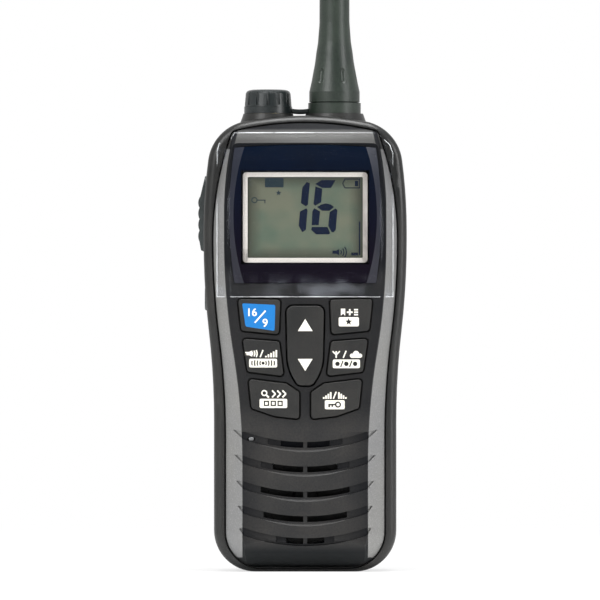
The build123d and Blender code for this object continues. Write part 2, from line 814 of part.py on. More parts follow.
def port_cuts():
    """Openings through the rear case: jacks, side buttons, socket, flasher and screw pilots."""
    cuts = rod_z(cap_x, post_y, case_top - 8, case_top + 10, cap_neck_r)
    cuts = cuts + rod_z(antenna_x, post_y, case_top - 8, case_top + 20, barrel_r)
    ptt = Pos(button_y, (ptt_low_z + ptt_high_z) / 2) * RectangleRounded(
        2 * (ptt_half_w + side_fit), ptt_high_z - ptt_low_z + 2 * side_fit, 2.3)
    cuts = cuts + sideways(ptt, -case_half_high - 2, -case_half_high + case_wall + 0.4)
    seat = Pos(button_y, ptt_switch_z()) * RectangleRounded(
        2 * ptt_half_w + 2.6, ptt_high_z - ptt_low_z + 2.6, 2.4)
    cuts = cuts + sideways(seat, -case_half_high + case_wall, -case_half_high + case_wall + 2)
    inner = power_wall_x()
    cuts = cuts + rod_x(-case_half_high - 2, inner + 1, button_y, power_z, power_r + 0.25)
    cuts = cuts + rod_x(inner - 0.2, inner + 2, button_y, power_z, power_r + 1.2)
    right = case_half_low
    socket_y = shield_y + usb_open_h / 2
    port = Pos(socket_y, usb_z) * RectangleRounded(usb_open_h + 0.2, 2 * usb_half_h + 0.2, 1.0)
    cuts = cuts + sideways(port, right - 8, right + 2)
    front = socket_y - usb_cover_w / 2 - side_fit - 0.15
    back = usb_pin_y() + usb_knuckle_r + usb_swing
    recess = RectangleRounded(back - front, 2 * (usb_cover_half + side_fit), usb_cover_r)
    cuts = cuts + sideways(Pos((front + back) / 2, usb_z) * recess, right - usb_cover_t, right + 2)
    cuts = cuts + box(right - 6, right - case_wall - 0.2, shield_y - 0.1, ledge_back_y + 0.5, usb_z - usb_cover_half,
                      usb_z + usb_cover_half)
    for side in side_pair:
        cuts = cuts + rod_y(side * clip_screw_x, cavity_back_y - 3.0, case_back_y + 1, clip_screw_z, 1.0)
    flasher = Pos(0, flasher_z) * RectangleRounded(flasher_w, flasher_h, flasher_r)
    cuts = cuts + slab(flasher, cavity_back_y - 1, case_back_y + 1)
    return cuts + rod_x(lug_x - 4, lug_x + 4, case_back_y + lug_hole_reach, lug_z, lug_hole_r)


def make_gasket():
    """Face seal between the two cases."""
    ring = slab(Face(front_outline(-0.5)), skirt_y, ledge_y)
    ring = ring - slab(Face(front_outline(-1.5)), skirt_y - 1, ledge_y + 1)
    return ring & chinned(0.5)


# ---------------------------------------------------------------- window and display
def make_lens():
    """Glossy window: flat middle with a slanted facet down each side."""
    edge_y = crown_y(lens_half) - 0.05
    face_y = front_y + 0.1
    base = slab(Face(lens_outline(lens_half, lens_side_r)), edge_y, lens_back_y)
    back = upright(edge_y) * lens_outline(lens_half, lens_side_r)
    flat = upright(face_y) * lens_outline(lens_flat_half, lens_flat_r)
    return base + Solid.make_loft([flat, back], ruled=True)


def frame_outline(shrink):
    """Outer outline of the display frame, or of its opening in the front case."""
    width = 2 * (view_half + frame_rim - shrink)
    height = view_high_z - view_low_z + 2 * (frame_rim - shrink)
    return Pos(0, (view_low_z + view_high_z) / 2) * RectangleRounded(width, height, frame_corner_r)


def make_display_pieces():
    """Pale frame, display glass and light guide, stacked behind the window."""
    outer = view_half + frame_rim - clear
    low = view_low_z - frame_rim + clear
    high = view_high_z + frame_rim - clear
    view = RectangleRounded(2 * view_half, view_high_z - view_low_z, view_corner_r)
    frame = slab(frame_outline(clear), lens_back_y, inner_y)
    frame = frame - slab(Pos(0, (view_low_z + view_high_z) / 2) * view, lens_back_y - 1, inner_y + 1)
    panel = box(-outer, outer, display_y, display_y + display_t, low - 0.5, high - 0.2)
    guide = box(-outer, outer, guide_y, guide_y + guide_t, low - 0.5, high - 0.2)
    return frame, panel, guide


# ---------------------------------------------------------------- keys
def make_key(row, side):
    """Key cap with its retaining flange and the plunger that presses a dome."""
    cap = slab(key_outline(row, side), nose_y - 2, inner_y + clear) & crowned(0, key_proud)
    top_edges = cap.edges().filter_by(lambda edge: edge.center().Y < crown_y(25, key_proud) + 0.2)
    cap = fillet(top_edges, 0.3)
    flange = slab(key_outline(row, side, key_gap + key_flange), inner_y + clear, key_back_y)
    x, z = dome_place(row, side)
    return cap + flange + rod_y(x, key_back_y - 0.2, plunger_y, z, 1.5)


def dome_place(row, side):
    """Middle of a key, where its dome sits."""
    points = key_points()[row]
    xs = [x for x, z in points]
    zs = [z for x, z in points]
    return side * (min(xs) + max(xs)) / 2, (min(zs) + max(zs)) / 2


def make_rocker():
    """Up/down key on two stub pins, with a foot over each of its domes."""
    cap = slab(rocker_outline(), nose_y - 2, inner_y - 1.6) & crowned(0, key_proud)
    front_edges = cap.edges().filter_by(lambda edge: edge.center().Y < front_y)
    cap = fillet(front_edges, 0.35)
    stem = box(-3.6, 3.6, inner_y - 2.0, inner_y + 0.6, rocker_foot_z + 3.0, rocker_top_z - 2.5)
    body = cap + stem + rod_x(-rocker_half, rocker_half, inner_y, rocker_z, rocker_pin_r)
    for z in rocker_domes():
        body = body + rod_y(0, inner_y, plunger_y + 0.1, z, 1.4)
    return body


def rocker_domes():
    """Heights of the two domes under the up/down key."""
    return rocker_z - 7.5, rocker_z + 7.5


def make_membrane():
    """Rubber sheet with one dome for each key position."""
    sheet = Pos(0, membrane_z) * RectangleRounded(2 * board_half, membrane_h, 3.0)
    body = slab(sheet, membrane_y, board_y)
    places = [dome_place(row, side) for row in range(3) for side in side_pair]
    places += [(0, z) for z in rocker_domes()]
    for x, z in places:
        dome = Pos(x, membrane_y - dome_h / 2 + 0.2, z) * Rot(90, 0, 0) * Cone(2.4, 1.6, dome_h + 0.4)
        body = body + dome
    return body


# ---------------------------------------------------------------- boards, speaker, microphone
def make_boards():
    """Logic board, main board, spacers, shield cans, chassis plate and board screws."""
    logic = box(-board_half, board_half, board_y, board_y + board_t, logic_low_z, logic_high_z)
    main = box(-board_half, board_half, main_board_y, shield_y, main_low_z, main_high_z)
    main = main + box(switch_x - 0.2, 1 - board_half, main_board_y, shield_y, power_z - 5.0, ptt_high_z - 3.2)
    cans = fused([box(x0, x1, shield_y, shield_y + shield_h, z0, z1) for x0, x1, z0, z1 in shield_cans])
    chassis = box(-bay_half, bay_half, chassis_y, chassis_y + chassis_t, chassis_low_z, chassis_high_z)
    spacers = []
    screws = []
    for x, z in [(side * x, z) for x, z in board_screws for side in side_pair]:
        bore = rod_y(x, main_board_y - 1, bay_front_y, z, board_screw_r + 0.1)
        main = main - bore
        chassis = chassis - bore
        spacers.append(rod_y(x, shield_y, chassis_y, z, spacer_r) - bore)
        spacers.append(rod_y(x, board_y + board_t, main_board_y, z + post_rise, post_r))
        head = rod_y(x, main_board_y - board_screw_r, main_board_y, z, board_screw_head_r)
        screws.append(head + rod_y(x, main_board_y, bay_front_y - 0.4, z, board_screw_r))
    return logic, main, fused(spacers), cans, chassis, fused(screws)


def make_speaker():
    """Foam ring, basket, cone with dust cap, and magnet."""
    front = inner_y + speaker_seal_t
    seal = rod_y(0, inner_y, front, speaker_z, speaker_r)
    seal = seal - rod_y(0, inner_y - 1, front + 1, speaker_z, speaker_r - speaker_seal_w)
    back = main_board_y - 0.5
    basket = ring_stack([(speaker_r - 1.9, front), (speaker_r, front), (speaker_r, front + 1.6), (8.4, back - 2.3),
                         (7.1, back - 2.3), (7.1, back - 3.0), (speaker_r - 1.9, front + 1.0)])
    cone = ring_stack([(0, front + 1.2), (3.0, front + 1.6), (3.4, front + 2.2), (speaker_r - 2.4, front + 0.1),
                       (speaker_r - 1.95, front + 0.1), (speaker_r - 1.95, front + 0.6), (3.6, front + 2.8),
                       (0, front + 2.8)])
    magnet = rod_y(0, back - magnet_t, back, speaker_z, magnet_r)
    return seal, basket, cone, magnet


def ring_stack(points):
    """Solid turned about the speaker's axis, from (radius, depth) points."""
    profile = make_face(Polyline(*points, close=True))
    return Pos(0, 0, speaker_z) * revolve(profile, axis=Axis((0, 0, 0), (0, 1, 0)))


def make_microphone():
    """Capsule and the rubber boot that seals it to its port."""
    capsule = rod_y(mic_x, inner_y + 0.75, board_y - 1.4, mic_z, mic_r)
    boot = rod_y(mic_x, inner_y, board_y, mic_z, mic_boot_r)
    boot = boot - capsule - rod_y(mic_x, inner_y - 1, inner_y + 2, mic_z, 0.7)
    return capsule, boot & front_block(front_wall)


# ---------------------------------------------------------------- battery
def make_battery():
    """Battery pack, its contact strip, the bay's cover, its seal and its screws."""
    half = bay_half - battery_slack
    pack = box(-half, half, bay_front_y + 0.3, cover_y - 0.75, bay_low_z + 0.3, bay_high_z - 1.8)
    pack = fillet(pack.edges().filter_by(Axis.Z), 1.5)
    strip = box(-contact_half, contact_half, 5.0, 10.5, bay_high_z - 1.2, bay_high_z)
    for x in (-contact_pitch, 0, contact_pitch):
        strip = strip + box(x - 0.9, x + 0.9, 6.5, 9.0, bay_high_z - 1.78, bay_high_z - 1.1)
    middle = (cover_low_z + cover_high_z) / 2
    bay_middle = (bay_low_z + bay_high_z) / 2
    bay_h = bay_high_z - bay_low_z
    plate = Pos(0, middle) * RectangleRounded(2 * cover_half, cover_high_z - cover_low_z, 3.0)
    cover = slab(plate, cover_y, case_back_y - clear)
    groove = Pos(0, bay_middle) * RectangleRounded(2 * bay_half + 2.6, bay_h + 2.2, 1.5)
    hole = Pos(0, bay_middle) * RectangleRounded(2 * bay_half + 0.6, bay_h + 0.4, 0.6)
    seal = slab(groove, cover_y, cover_y + seal_t) - slab(hole, cover_y - 1, cover_y + 1)
    cover = cover - seal
    screws = []
    for x, z in [(side * x, z) for x, z in cover_screws for side in side_pair]:
        cover = cover - rod_y(x, cover_y - 1, case_back_y + 1, z, cover_screw_r + 0.15)
        cover = cover - rod_y(x, case_back_y - 1.0, case_back_y + 1, z, cover_screw_head_r + 0.15)
        screws.append(screw_along_y(x, z, cover_y - 5.5, case_back_y - 1.0, cover_screw_r, cover_screw_head_r, 0.8))
    for i in range(cover_grips):
        low = cover_grip_low_z + cover_grip_pitch * i
        cover = cover - box(-cover_grip_half, cover_grip_half, case_back_y - 0.45, case_back_y + 1, low,
                            low + cover_grip_h)
    return pack, strip, cover, seal, fused(screws)


def screw_along_y(x, z, y_end, y_seat, shank_r, head_r, head_t):
    """Screw driven forward from the back, with a cross recess in its head."""
    screw = rod_y(x, y_end, y_seat, z, shank_r) + rod_y(x, y_seat, y_seat + head_t, z, head_r)
    cross = box(x - 0.9, x + 0.9, y_seat + head_t - 0.45, y_seat + head_t + 1, z - 0.2, z + 0.2)
    cross = cross + box(x - 0.2, x + 0.2, y_seat + head_t - 0.45, y_seat + head_t + 1, z - 0.9, z + 0.9)
    return screw - cross


def make_case_screws():
    """Four long-reach screws that pull the two cases together."""
    return fused([screw_along_y(side * x, z, case_screw_tip_y, case_screw_seat_y, case_screw_r, case_screw_head_r,
                                1.6) for x, z in case_screws for side in side_pair])


# ---------------------------------------------------------------- side buttons
def make_ptt():
    """Talk button: tapered top, a few grip ribs, blunt lower end, and a flange behind the wall."""
    wall = -case_half_high
    mid_z = (ptt_low_z + ptt_high_z) / 2 - 1.4
    rib_low = mid_z - ptt_ribs / 2 * ptt_rib_pitch
    crest = wall - ptt_proud
    edges = [seg((wall + 1, ptt_high_z), (wall + 0.35, ptt_high_z)),
             seg((wall + 0.35, ptt_high_z), (crest + 0.5, rib_low + ptt_ribs * ptt_rib_pitch))]
    at = (crest + 0.5, rib_low + ptt_ribs * ptt_rib_pitch)
    for i in range(ptt_ribs):
        z0 = rib_low + (ptt_ribs - i) * ptt_rib_pitch
        z1 = z0 - ptt_rib_pitch
        low = (crest + 0.3, z1)
        edges.append(arc(at, (crest - 0.05, (z0 + z1) / 2), low))
        at = low
    edges.append(seg(at, (crest + 0.7, ptt_low_z + 0.5)))
    edges.append(seg((crest + 0.7, ptt_low_z + 0.5), (wall + 0.2, ptt_low_z)))
    edges.append(seg((wall + 0.2, ptt_low_z), (wall + 1, ptt_low_z)))
    edges.append(seg((wall + 1, ptt_low_z), (wall + 1, ptt_high_z)))
    pad = slab(Face(Wire(edges)), button_y - ptt_half_w, button_y + ptt_half_w)
    stem = Pos(button_y, (ptt_low_z + ptt_high_z) / 2) * RectangleRounded(
        2 * ptt_half_w, ptt_high_z - ptt_low_z, 2.0)
    stem = sideways(stem, wall - ptt_proud - 1, flange_x)
    outer = stem & (pad + box(wall + 0.9, wall + 10, -10, 20, ptt_low_z, ptt_high_z))
    flange = Pos(button_y, (ptt_low_z + ptt_high_z) / 2) * RectangleRounded(
        2 * ptt_half_w + 2.2, ptt_high_z - ptt_low_z + 2.2, 2.4)
    body = outer + sideways(flange, flange_x, flange_x + flange_t)
    plunger_end = switch_x - switch_pin - clear - ptt_travel
    return body + rod_x(flange_x + flange_t, plunger_end, button_y, ptt_switch_z(), 2.0)


def ptt_switch_z():
    """Height of the talk switch."""
    return (ptt_low_z + ptt_high_z) / 2


def make_ptt_seal():
    """Flat seal between the case wall and the talk button's flange."""
    outer = Pos(button_y, ptt_switch_z()) * RectangleRounded(
        2 * ptt_half_w + 2.2, ptt_high_z - ptt_low_z + 2.2, 2.4)
    inner = Pos(button_y, ptt_switch_z()) * RectangleRounded(
        2 * ptt_half_w + 0.9, ptt_high_z - ptt_low_z + 0.9, 2.2)
    low = -case_half_high + case_wall
    return sideways(outer, low, low + 0.55) - sideways(inner, low - 1, low + 2)


def make_power_button():
    """Round power key with its flange and plunger."""
    inner = power_wall_x()
    body = rod_x(inner - case_wall - 0.35, inner + 0.1, button_y, power_z, power_r)
    body = fillet(body.edges().filter_by(lambda edge: edge.center().X < inner - 1), 0.5)
    body = body + rod_x(inner + 0.1, inner + 0.1 + flange_t, button_y, power_z, power_r + 0.9)
    return body + rod_x(inner + flange_t, switch_x - switch_pin - clear - power_travel, button_y, power_z, 1.5)


def power_wall_x():
    """Inner face of the left wall at the power key."""
    lean = (bend_top_z - power_z) / (bend_top_z - case_bend_z)
    return -case_half_high + 2 * (case_half_high - case_half_low) * lean**2 + case_wall


def make_side_switch(z, half_h):
    """Switch that stands on the main board's edge, with its own small plunger."""
    body = box(switch_x, switch_x + switch_w, shield_y, button_y + 1.8, z - half_h, z + half_h)
    return body + rod_x(switch_x - switch_pin, switch_x + 0.2, button_y, z, switch_pin_r)


# ---------------------------------------------------------------- sockets
def make_usb():
    """Charging socket on the main board and the hinged rubber cover over it."""
    right = case_half_low
    socket_y = shield_y + usb_open_h / 2
    inner = right - usb_cover_t
    shell = Pos(socket_y, usb_z) * RectangleRounded(usb_open_h, 2 * usb_half_h, 0.9)
    hollow = Pos(socket_y, usb_z) * RectangleRounded(usb_open_h - 0.8, 2 * usb_half_h - 0.8, 0.6)
    socket = sideways(shell, right - 8.2, inner - 0.3)
    socket = socket - sideways(hollow, right - 7.2, right + 1)
    socket = socket + box(right - 7.4, inner - 0.9, socket_y - 0.35, socket_y + 0.35, usb_z - 2.6, usb_z + 2.6)
    plate = Pos(socket_y - 0.15, usb_z) * RectangleRounded(usb_cover_w, 2 * usb_cover_half, usb_cover_r)
    low = usb_z - usb_cover_half + 1.2
    high = usb_z + usb_cover_half - 1.2
    cover = sideways(plate, inner + 0.1, right)
    cover = cover + rod_z(usb_pin_x(), usb_pin_y(), low, high, usb_knuckle_r)
    cover = cover + box(inner + 0.1, right - 0.1, usb_pin_y() - 1.2, usb_pin_y(), low, high)
    rib = Pos(socket_y, usb_z) * RectangleRounded(usb_open_h - 1.0, 2 * usb_half_h - 1.2, 0.5)
    cover = cover + sideways(rib, inner - 0.2, inner + 0.2)
    return socket, cover - rod_z(usb_pin_x(), usb_pin_y(), usb_z - 9, usb_z + 9, usb_pin_r + running_fit)


def usb_pin_x():
    """Hinge line of the socket cover, measured from the middle."""
    return case_half_low - usb_cover_t + usb_knuckle_r + 0.1


def usb_pin_y():
    """Depth of the socket cover's hinge line."""
    return shield_y + usb_open_h / 2 + usb_hinge_reach


def make_accessory_jack():
    """Threaded neck for the speaker microphone's plug, with a contact block and flange."""
    floor_z = jack_low_z + 4.0
    neck = rod_z(cap_x, post_y, jack_low_z, jack_top_z, cap_neck_r)
    neck = neck - rod_z(cap_x, post_y, floor_z, jack_top_z + 0.4, jack_socket_r)
    block = rod_z(cap_x, post_y, floor_z - 0.1, jack_block_top_z, jack_block_r)
    for i in range(4):
        x, y = on_circle((cap_x, post_y), 1.2, 45 + 90 * i)
        block = block - rod_z(x, y, jack_block_top_z - 4.0, jack_block_top_z + 1.0, 0.35)
    nut = rod_z(cap_x, post_y, nut_seat_z - ring_nut_t, nut_seat_z, ring_nut_r)
    nut = nut - rod_z(cap_x, post_y, nut_seat_z - 3.0, nut_seat_z + 1.0, cap_neck_r - 0.2)
    return neck + block + nut


def make_cap():
    """Fluted screw cap over the accessory jack."""
    profile = [(0, cap_seam_z), (cap_r, cap_seam_z), (cap_r - 0.3, cap_top_z - 1.1), (cap_r - 0.6, cap_top_z - 0.5),
               (cap_r - 1.2, cap_top_z - 0.17), (cap_r - 2.2, cap_top_z), (0, cap_top_z)]
    body = turned(profile, cap_x, post_y)
    for i in range(cap_flutes):
        x, y = on_circle((cap_x, post_y), cap_r - 0.15, 360 / cap_flutes * i - 90)
        body = body - rod_z(x, y, cap_seam_z + 0.4, cap_top_z + 1, cap_flute_r)
    body = body + rod_z(cap_x, post_y, boss_top_z + 0.1, cap_seam_z + 0.2, cap_skirt_r)
    return body - rod_z(cap_x, post_y, boss_top_z - 1, cap_bore_top_z, cap_neck_r + running_fit)


def make_tether():
    """Rubber tether: eyelet under the cap, strap, and ring under the antenna."""
    eyelet = rod_z(cap_x, post_y, boss_top_z + 0.1, cap_seam_z - clear, eyelet_r)
    eyelet = eyelet - rod_z(cap_x, post_y, boss_top_z - 1, cap_seam_z + 1, cap_skirt_r + running_fit)
    anchor = rod_z(antenna_x, post_y, boss_top_z, anchor_top_z, anchor_r)
    anchor = anchor - rod_z(antenna_x, post_y, boss_top_z - 1, anchor_top_z + 1, spigot_r)
    strap = box(cap_x + 4, antenna_x - 4, post_y - strap_w / 2, post_y + strap_w / 2, strap_low_z,
                strap_low_z + strap_t)
    strap = strap - rod_z(cap_x, post_y, boss_top_z - 1, cap_seam_z + 1, eyelet_r + clear)
    strap = strap - rod_z(antenna_x, post_y, boss_top_z - 1, anchor_top_z + 1, anchor_r)
    return eyelet, strap, anchor


# ---------------------------------------------------------------- antenna
def grip_cuts():
    """Oval grip recesses round the antenna's flare, at an even depth in its slanted face."""
    low_r, low_z = antenna_flare[0]
    high_r, high_z = antenna_flare[1]
    slope = (high_r - low_r) / (high_z - low_z)
    cuts = []
    for i in range(grip_recesses):
        turn = grip_turn + 360 / grip_recesses * i - 90
        ends = []
        for z in (grip_low_z, grip_high_z):
            x, y = on_circle((antenna_x, post_y), low_r + slope * (z - low_z) + grip_r - grip_depth, turn)
            ends.append(Vector(x, y, z))
        along = ends[1] - ends[0]
        middle = (ends[0] + ends[1]) * 0.5
        bar = Plane(origin=middle, z_dir=along) * Cylinder(grip_r, along.length)
        cuts += [bar, Pos(ends[0]) * Sphere(grip_r), Pos(ends[1]) * Sphere(grip_r)]
    return fused(cuts)


def make_antenna():
    """Rubber whip with its core, screw plug and O-ring, and the jack that they fit."""
    seat = antenna_seam_z
    points = [(0, seat), (antenna_base_r - 0.15, seat), (antenna_base_r, seat + 0.15),
              (antenna_base_r, antenna_base_top_z)]
    points += list(antenna_flare)
    points += [(antenna_rod_r, antenna_rod_z), (antenna_rod_r - 0.35, antenna_top_z - 3),
               (antenna_rod_r - 1.0, antenna_top_z - 1), (antenna_rod_r - 2.2, antenna_top_z), (0, antenna_top_z)]
    core_top = antenna_top_z - 6
    whip = turned(points, antenna_x, post_y) - grip_cuts()
    whip = whip - rod_z(antenna_x, post_y, seat - 1, plug_top_z, plug_r)
    whip = whip - rod_z(antenna_x, post_y, plug_top_z - 1, core_top, core_r)
    core = rod_z(antenna_x, post_y, plug_top_z, core_top, core_r)
    plug = rod_z(antenna_x, post_y, plug_seat_z, plug_top_z, plug_r)
    plug = plug - rod_z(antenna_x, post_y, plug_seat_z - 1, barrel_top_z + 0.4, barrel_r + 0.06)
    plug = plug + rod_z(antenna_x, post_y, plug_seat_z + 0.5, barrel_top_z + 0.6, contact_r)
    seal = rod_z(antenna_x, post_y, anchor_top_z + clear, plug_seat_z - clear, plug_r - 0.1)
    seal = seal - rod_z(antenna_x, post_y, anchor_top_z, plug_seat_z, barrel_r + 0.2)
    jack = rod_z(antenna_x, post_y, barrel_low_z, barrel_top_z, barrel_r)
    jack = jack - rod_z(antenna_x, post_y, plug_seat_z - 0.3, barrel_top_z + 0.8, contact_r + 0.06)
    nut = Pos(antenna_x, post_y, nut_seat_z - hex_nut_t) * extrude(RegularPolygon(hex_nut_r, 6), amount=hex_nut_t)
    jack = jack + (nut - rod_z(antenna_x, post_y, nut_seat_z - 3.0, nut_seat_z + 3.0, barrel_r - 0.2))
    feed = rod_z(antenna_x, post_y, feed_z, barrel_low_z, feed_r)
    feed = feed + rod_y(antenna_x, shield_y, post_y + feed_r, feed_z, feed_r)
    return whip, core, plug, seal, jack, feed


# ---------------------------------------------------------------- flasher, belt clip
def make_flasher():
    """Clear lens of the safety light, low on the back."""
    shape = Pos(0, flasher_z) * RectangleRounded(flasher_w, flasher_h, flasher_r)
    flange = Pos(0, flasher_z) * RectangleRounded(flasher_w + 1.6, flasher_h + 1.2, flasher_r + 0.4)
    return slab(shape, cavity_back_y, case_back_y - 0.1) + slab(flange, cavity_back_y - 0.7, cavity_back_y)


def make_clip():
    """Belt clip: screwed plate with ears, pin, torsion spring, sprung arm and two screws."""
    back = case_back_y
    face = back + clip_plate_t
    plate = Pos(0, (clip_plate_low_z + clip_plate_high_z) / 2) * RectangleRounded(
        2 * clip_plate_half, clip_plate_high_z - clip_plate_low_z, 3.0)
    body = slab(plate, back, face)
    for ear in both_sides(clip_ear_in, clip_ear_out, back + 1.0, clip_pin_y, clip_pin_z - clip_ear_r,
                          clip_pin_z + clip_ear_r):
        body = body + ear
    for side in side_pair:
        x0 = min(side * clip_ear_in, side * clip_ear_out)
        body = body + rod_x(x0, x0 + clip_ear_out - clip_ear_in, clip_pin_y, clip_pin_z, clip_ear_r)
    body = body - rod_x(-clip_ear_out - 1, clip_ear_out + 1, clip_pin_y, clip_pin_z, clip_pin_r)
    screws = []
    for side in side_pair:
        x = side * clip_screw_x
        body = body - rod_y(x, back - 1, back + 2, clip_screw_z, 1.1)
        screws.append(screw_along_y(x, clip_screw_z, cavity_back_y - 2.8, face, 1.0, 1.9, 0.9))
    pin = rod_x(-clip_ear_out - 0.2, clip_ear_out + 0.2, clip_pin_y, clip_pin_z, clip_pin_r)
    return body, fused(screws), pin, make_clip_spring(), make_clip_arm()


def make_clip_spring():
    """Torsion spring on the clip's pin: its coils, and the legs that push on the plate."""
    first = -1.8
    last = first + spring_pitch * (spring_turns - 1) + spring_wire
    starts = [first + spring_pitch * i for i in range(spring_turns)]
    coils = [rod_x(x, x + spring_wire, clip_pin_y, clip_pin_z, spring_r) for x in starts]
    spring = fused(coils) - rod_x(first - 1, last + 1, clip_pin_y, clip_pin_z, clip_pin_r + 0.12)
    low = clip_pin_z - 0.5
    spring = spring + box(first, last, clip_pin_y - spring_r + 0.05, clip_pin_y - spring_r + 0.5, low, low + 1.0)
    return spring + box(first, first + 0.6, case_back_y + clip_plate_t, clip_pin_y - spring_r + 0.45, low, low + 0.7)


def make_clip_arm():
    """Sprung arm: thumb pad above the pin, long blade and hooked tip below it."""
    y0 = clip_arm_y
    y1 = clip_arm_y + clip_arm_t
    blade = Pos(0, (clip_tip_z + clip_top_z) / 2) * RectangleRounded(2 * clip_half, clip_top_z - clip_tip_z, 4.0)
    window = clip_hub_r + 0.8
    low = clip_pin_z - clip_hub_r - window
    arm = slab(blade, y0, y1)
    arm = arm - box(-clip_half - 1, clip_half + 1, y0 - 1, y1 + 1, clip_pin_z - window, clip_pin_z + window)
    bridge_y = clip_pin_y + clip_hub_r - 0.25
    for z0 in (low, clip_pin_z + window):
        arm = arm + box(-clip_hub_out, clip_hub_out, y0, bridge_y + 1.2, z0, z0 + clip_hub_r)
    arm = arm + box(-clip_hub_out, clip_hub_out, bridge_y, bridge_y + 1.2, low, 2 * clip_pin_z - low)
    for side in side_pair:
        x0 = min(side * clip_hub_in, side * clip_hub_out)
        arm = arm + rod_x(x0, x0 + clip_hub_out - clip_hub_in, clip_pin_y, clip_pin_z, clip_hub_r)
    arm = arm - rod_x(-clip_half - 1, clip_half + 1, clip_pin_y, clip_pin_z, clip_pin_r + running_fit)
    return arm + rod_x(2.5 - clip_half, clip_half - 2.5, y0 + 0.4, clip_tip_z + 3.0, 1.5)


# ---------------------------------------------------------------- build and save every piece
def main():
    grille = grille_cuts()
    space = trim_space()
    trims = make_trims(space, grille)
    frame, display, guide = make_display_pieces()
    logic, main_board, spacers, cans, chassis, board_bolts = make_boards()
    speaker_seal, basket, cone, magnet = make_speaker()
    capsule, boot = make_microphone()
    pack, strip, cover, cover_seal, cover_bolts = make_battery()
    usb_socket, usb_cover = make_usb()
    eyelet, strap, anchor = make_tether()
    whip, core, plug, o_ring, jack, feed = make_antenna()
    plate, clip_bolts, pin, spring, arm = make_clip()
    pieces = {
        "rear_case": make_rear_case(),
        "front_case": make_front_case(space, grille),
        "case_gasket": make_gasket(),
        "side_trim_left": trims[0],
        "side_trim_right": trims[-1],
        "window_lens": make_lens(),
        "display_frame": frame,
        "display_glass": display,
        "display_light_guide": guide,
        "keypad_membrane": make_membrane(),
        "key_sixteen": make_key(0, -1),
        "key_favourite": make_key(0, 1),
        "key_volume": make_key(1, -1),
        "key_channel": make_key(1, 1),
        "key_scan": make_key(2, -1),
        "key_power_level": make_key(2, 1),
        "key_up_down": make_rocker(),
        "logic_board": logic,
        "main_board": main_board,
        "board_spacers": spacers,
        "board_shields": cans,
        "chassis_frame": chassis,
        "board_screws": board_bolts,
        "speaker_seal": speaker_seal,
        "speaker_basket": basket,
        "speaker_cone": cone,
        "speaker_magnet": magnet,
        "microphone": capsule,
        "microphone_boot": boot,
        "battery_pack": pack,
        "battery_contacts": strip,
        "battery_cover": cover,
        "battery_seal": cover_seal,
        "cover_screws": cover_bolts,
        "case_screws": make_case_screws(),
        "ptt_button": make_ptt(),
        "ptt_seal": make_ptt_seal(),
        "ptt_switch": make_side_switch(ptt_switch_z(), 3.5),
        "power_button": make_power_button(),
        "power_switch": make_side_switch(power_z, 2.8),
        "usb_socket": usb_socket,
        "usb_cover": usb_cover,
        "accessory_jack": make_accessory_jack(),
        "jack_cap": make_cap(),
        "tether_eyelet": eyelet,
        "tether_strap": strap,
        "tether_anchor": anchor,
        "antenna_whip": whip,
        "antenna_core": core,
        "antenna_plug": plug,
        "antenna_seal": o_ring,
        "antenna_jack": jack,
        "antenna_feed": feed,
        "flasher_lens": make_flasher(),
        "clip_plate": plate,
        "clip_screws": clip_bolts,
        "clip_pin": pin,
        "clip_spring": spring,
        "clip_arm": arm,
    }
    os.makedirs("parts", exist_ok=True)
    for name, shape in pieces.items():
        export_step(shape, f"parts/{name}.step")


main()
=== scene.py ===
"""Finishes, printed legends, display content, rubber tether and studio for a handheld marine VHF radio."""
import math

import bpy
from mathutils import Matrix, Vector


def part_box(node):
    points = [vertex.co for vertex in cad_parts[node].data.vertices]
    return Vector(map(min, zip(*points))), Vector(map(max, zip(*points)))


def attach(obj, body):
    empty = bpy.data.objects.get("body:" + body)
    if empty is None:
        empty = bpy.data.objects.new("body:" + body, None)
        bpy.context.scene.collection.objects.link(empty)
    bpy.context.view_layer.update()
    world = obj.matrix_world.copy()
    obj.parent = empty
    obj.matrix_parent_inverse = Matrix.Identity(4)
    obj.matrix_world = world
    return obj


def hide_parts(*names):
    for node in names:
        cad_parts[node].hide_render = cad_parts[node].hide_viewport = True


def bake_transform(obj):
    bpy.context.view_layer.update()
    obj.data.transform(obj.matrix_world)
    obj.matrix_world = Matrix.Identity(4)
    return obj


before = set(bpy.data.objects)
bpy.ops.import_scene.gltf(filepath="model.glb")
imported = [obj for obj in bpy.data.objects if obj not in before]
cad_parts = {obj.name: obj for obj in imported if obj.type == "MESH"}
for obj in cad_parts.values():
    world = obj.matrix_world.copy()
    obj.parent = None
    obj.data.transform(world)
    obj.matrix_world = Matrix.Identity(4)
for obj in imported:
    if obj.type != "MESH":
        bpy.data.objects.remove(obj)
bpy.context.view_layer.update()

MM = 0.001

# ---------------------------------------------------------------- the radio's own places, in millimetres
PANEL_Y = -15.25            # front face of the panel at the middle
GLASS_X = 17.8              # clear part of the window: half width, lower and upper edge
GLASS_LOW = 85.5
GLASS_HIGH = 111.6
LCD_X = 16.0                # visible display: half width, lower and upper edge
LCD_LOW = 87.3
LCD_HIGH = 109.8
LENS_TOP = 118.7
LENS_GAP = 0.45             # the paint begins this far above the window
GRILLE_TOP = 39.0
SILVER_TOP = 117.5          # the side trims end here and the paint of the forehead takes over
PAINT_BACK_Y = -8.55        # the paint of the forehead ends at the parting line
FADE_LOW = 121.9            # the silver fades into the dark plastic towards the crown between these heights: partly the paint's real edge, partly painted shade
FADE_HIGH = 123.3
PAINT_LOW = 120.0           # the silver is painted brightest between this height and the fade, and darker below it: painted shade
PAINT_RISE = 1.6            # and the painted light rises over this height
SHUT_X = 19.75              # shut line between forehead and trim: its place at SHUT_Z
SHUT_Z = 120.8
SHUT_SLOPE = 0.236          # how fast it moves outwards further down
SHUT_HALF = 0.5             # half its width, and the width of its soft edge
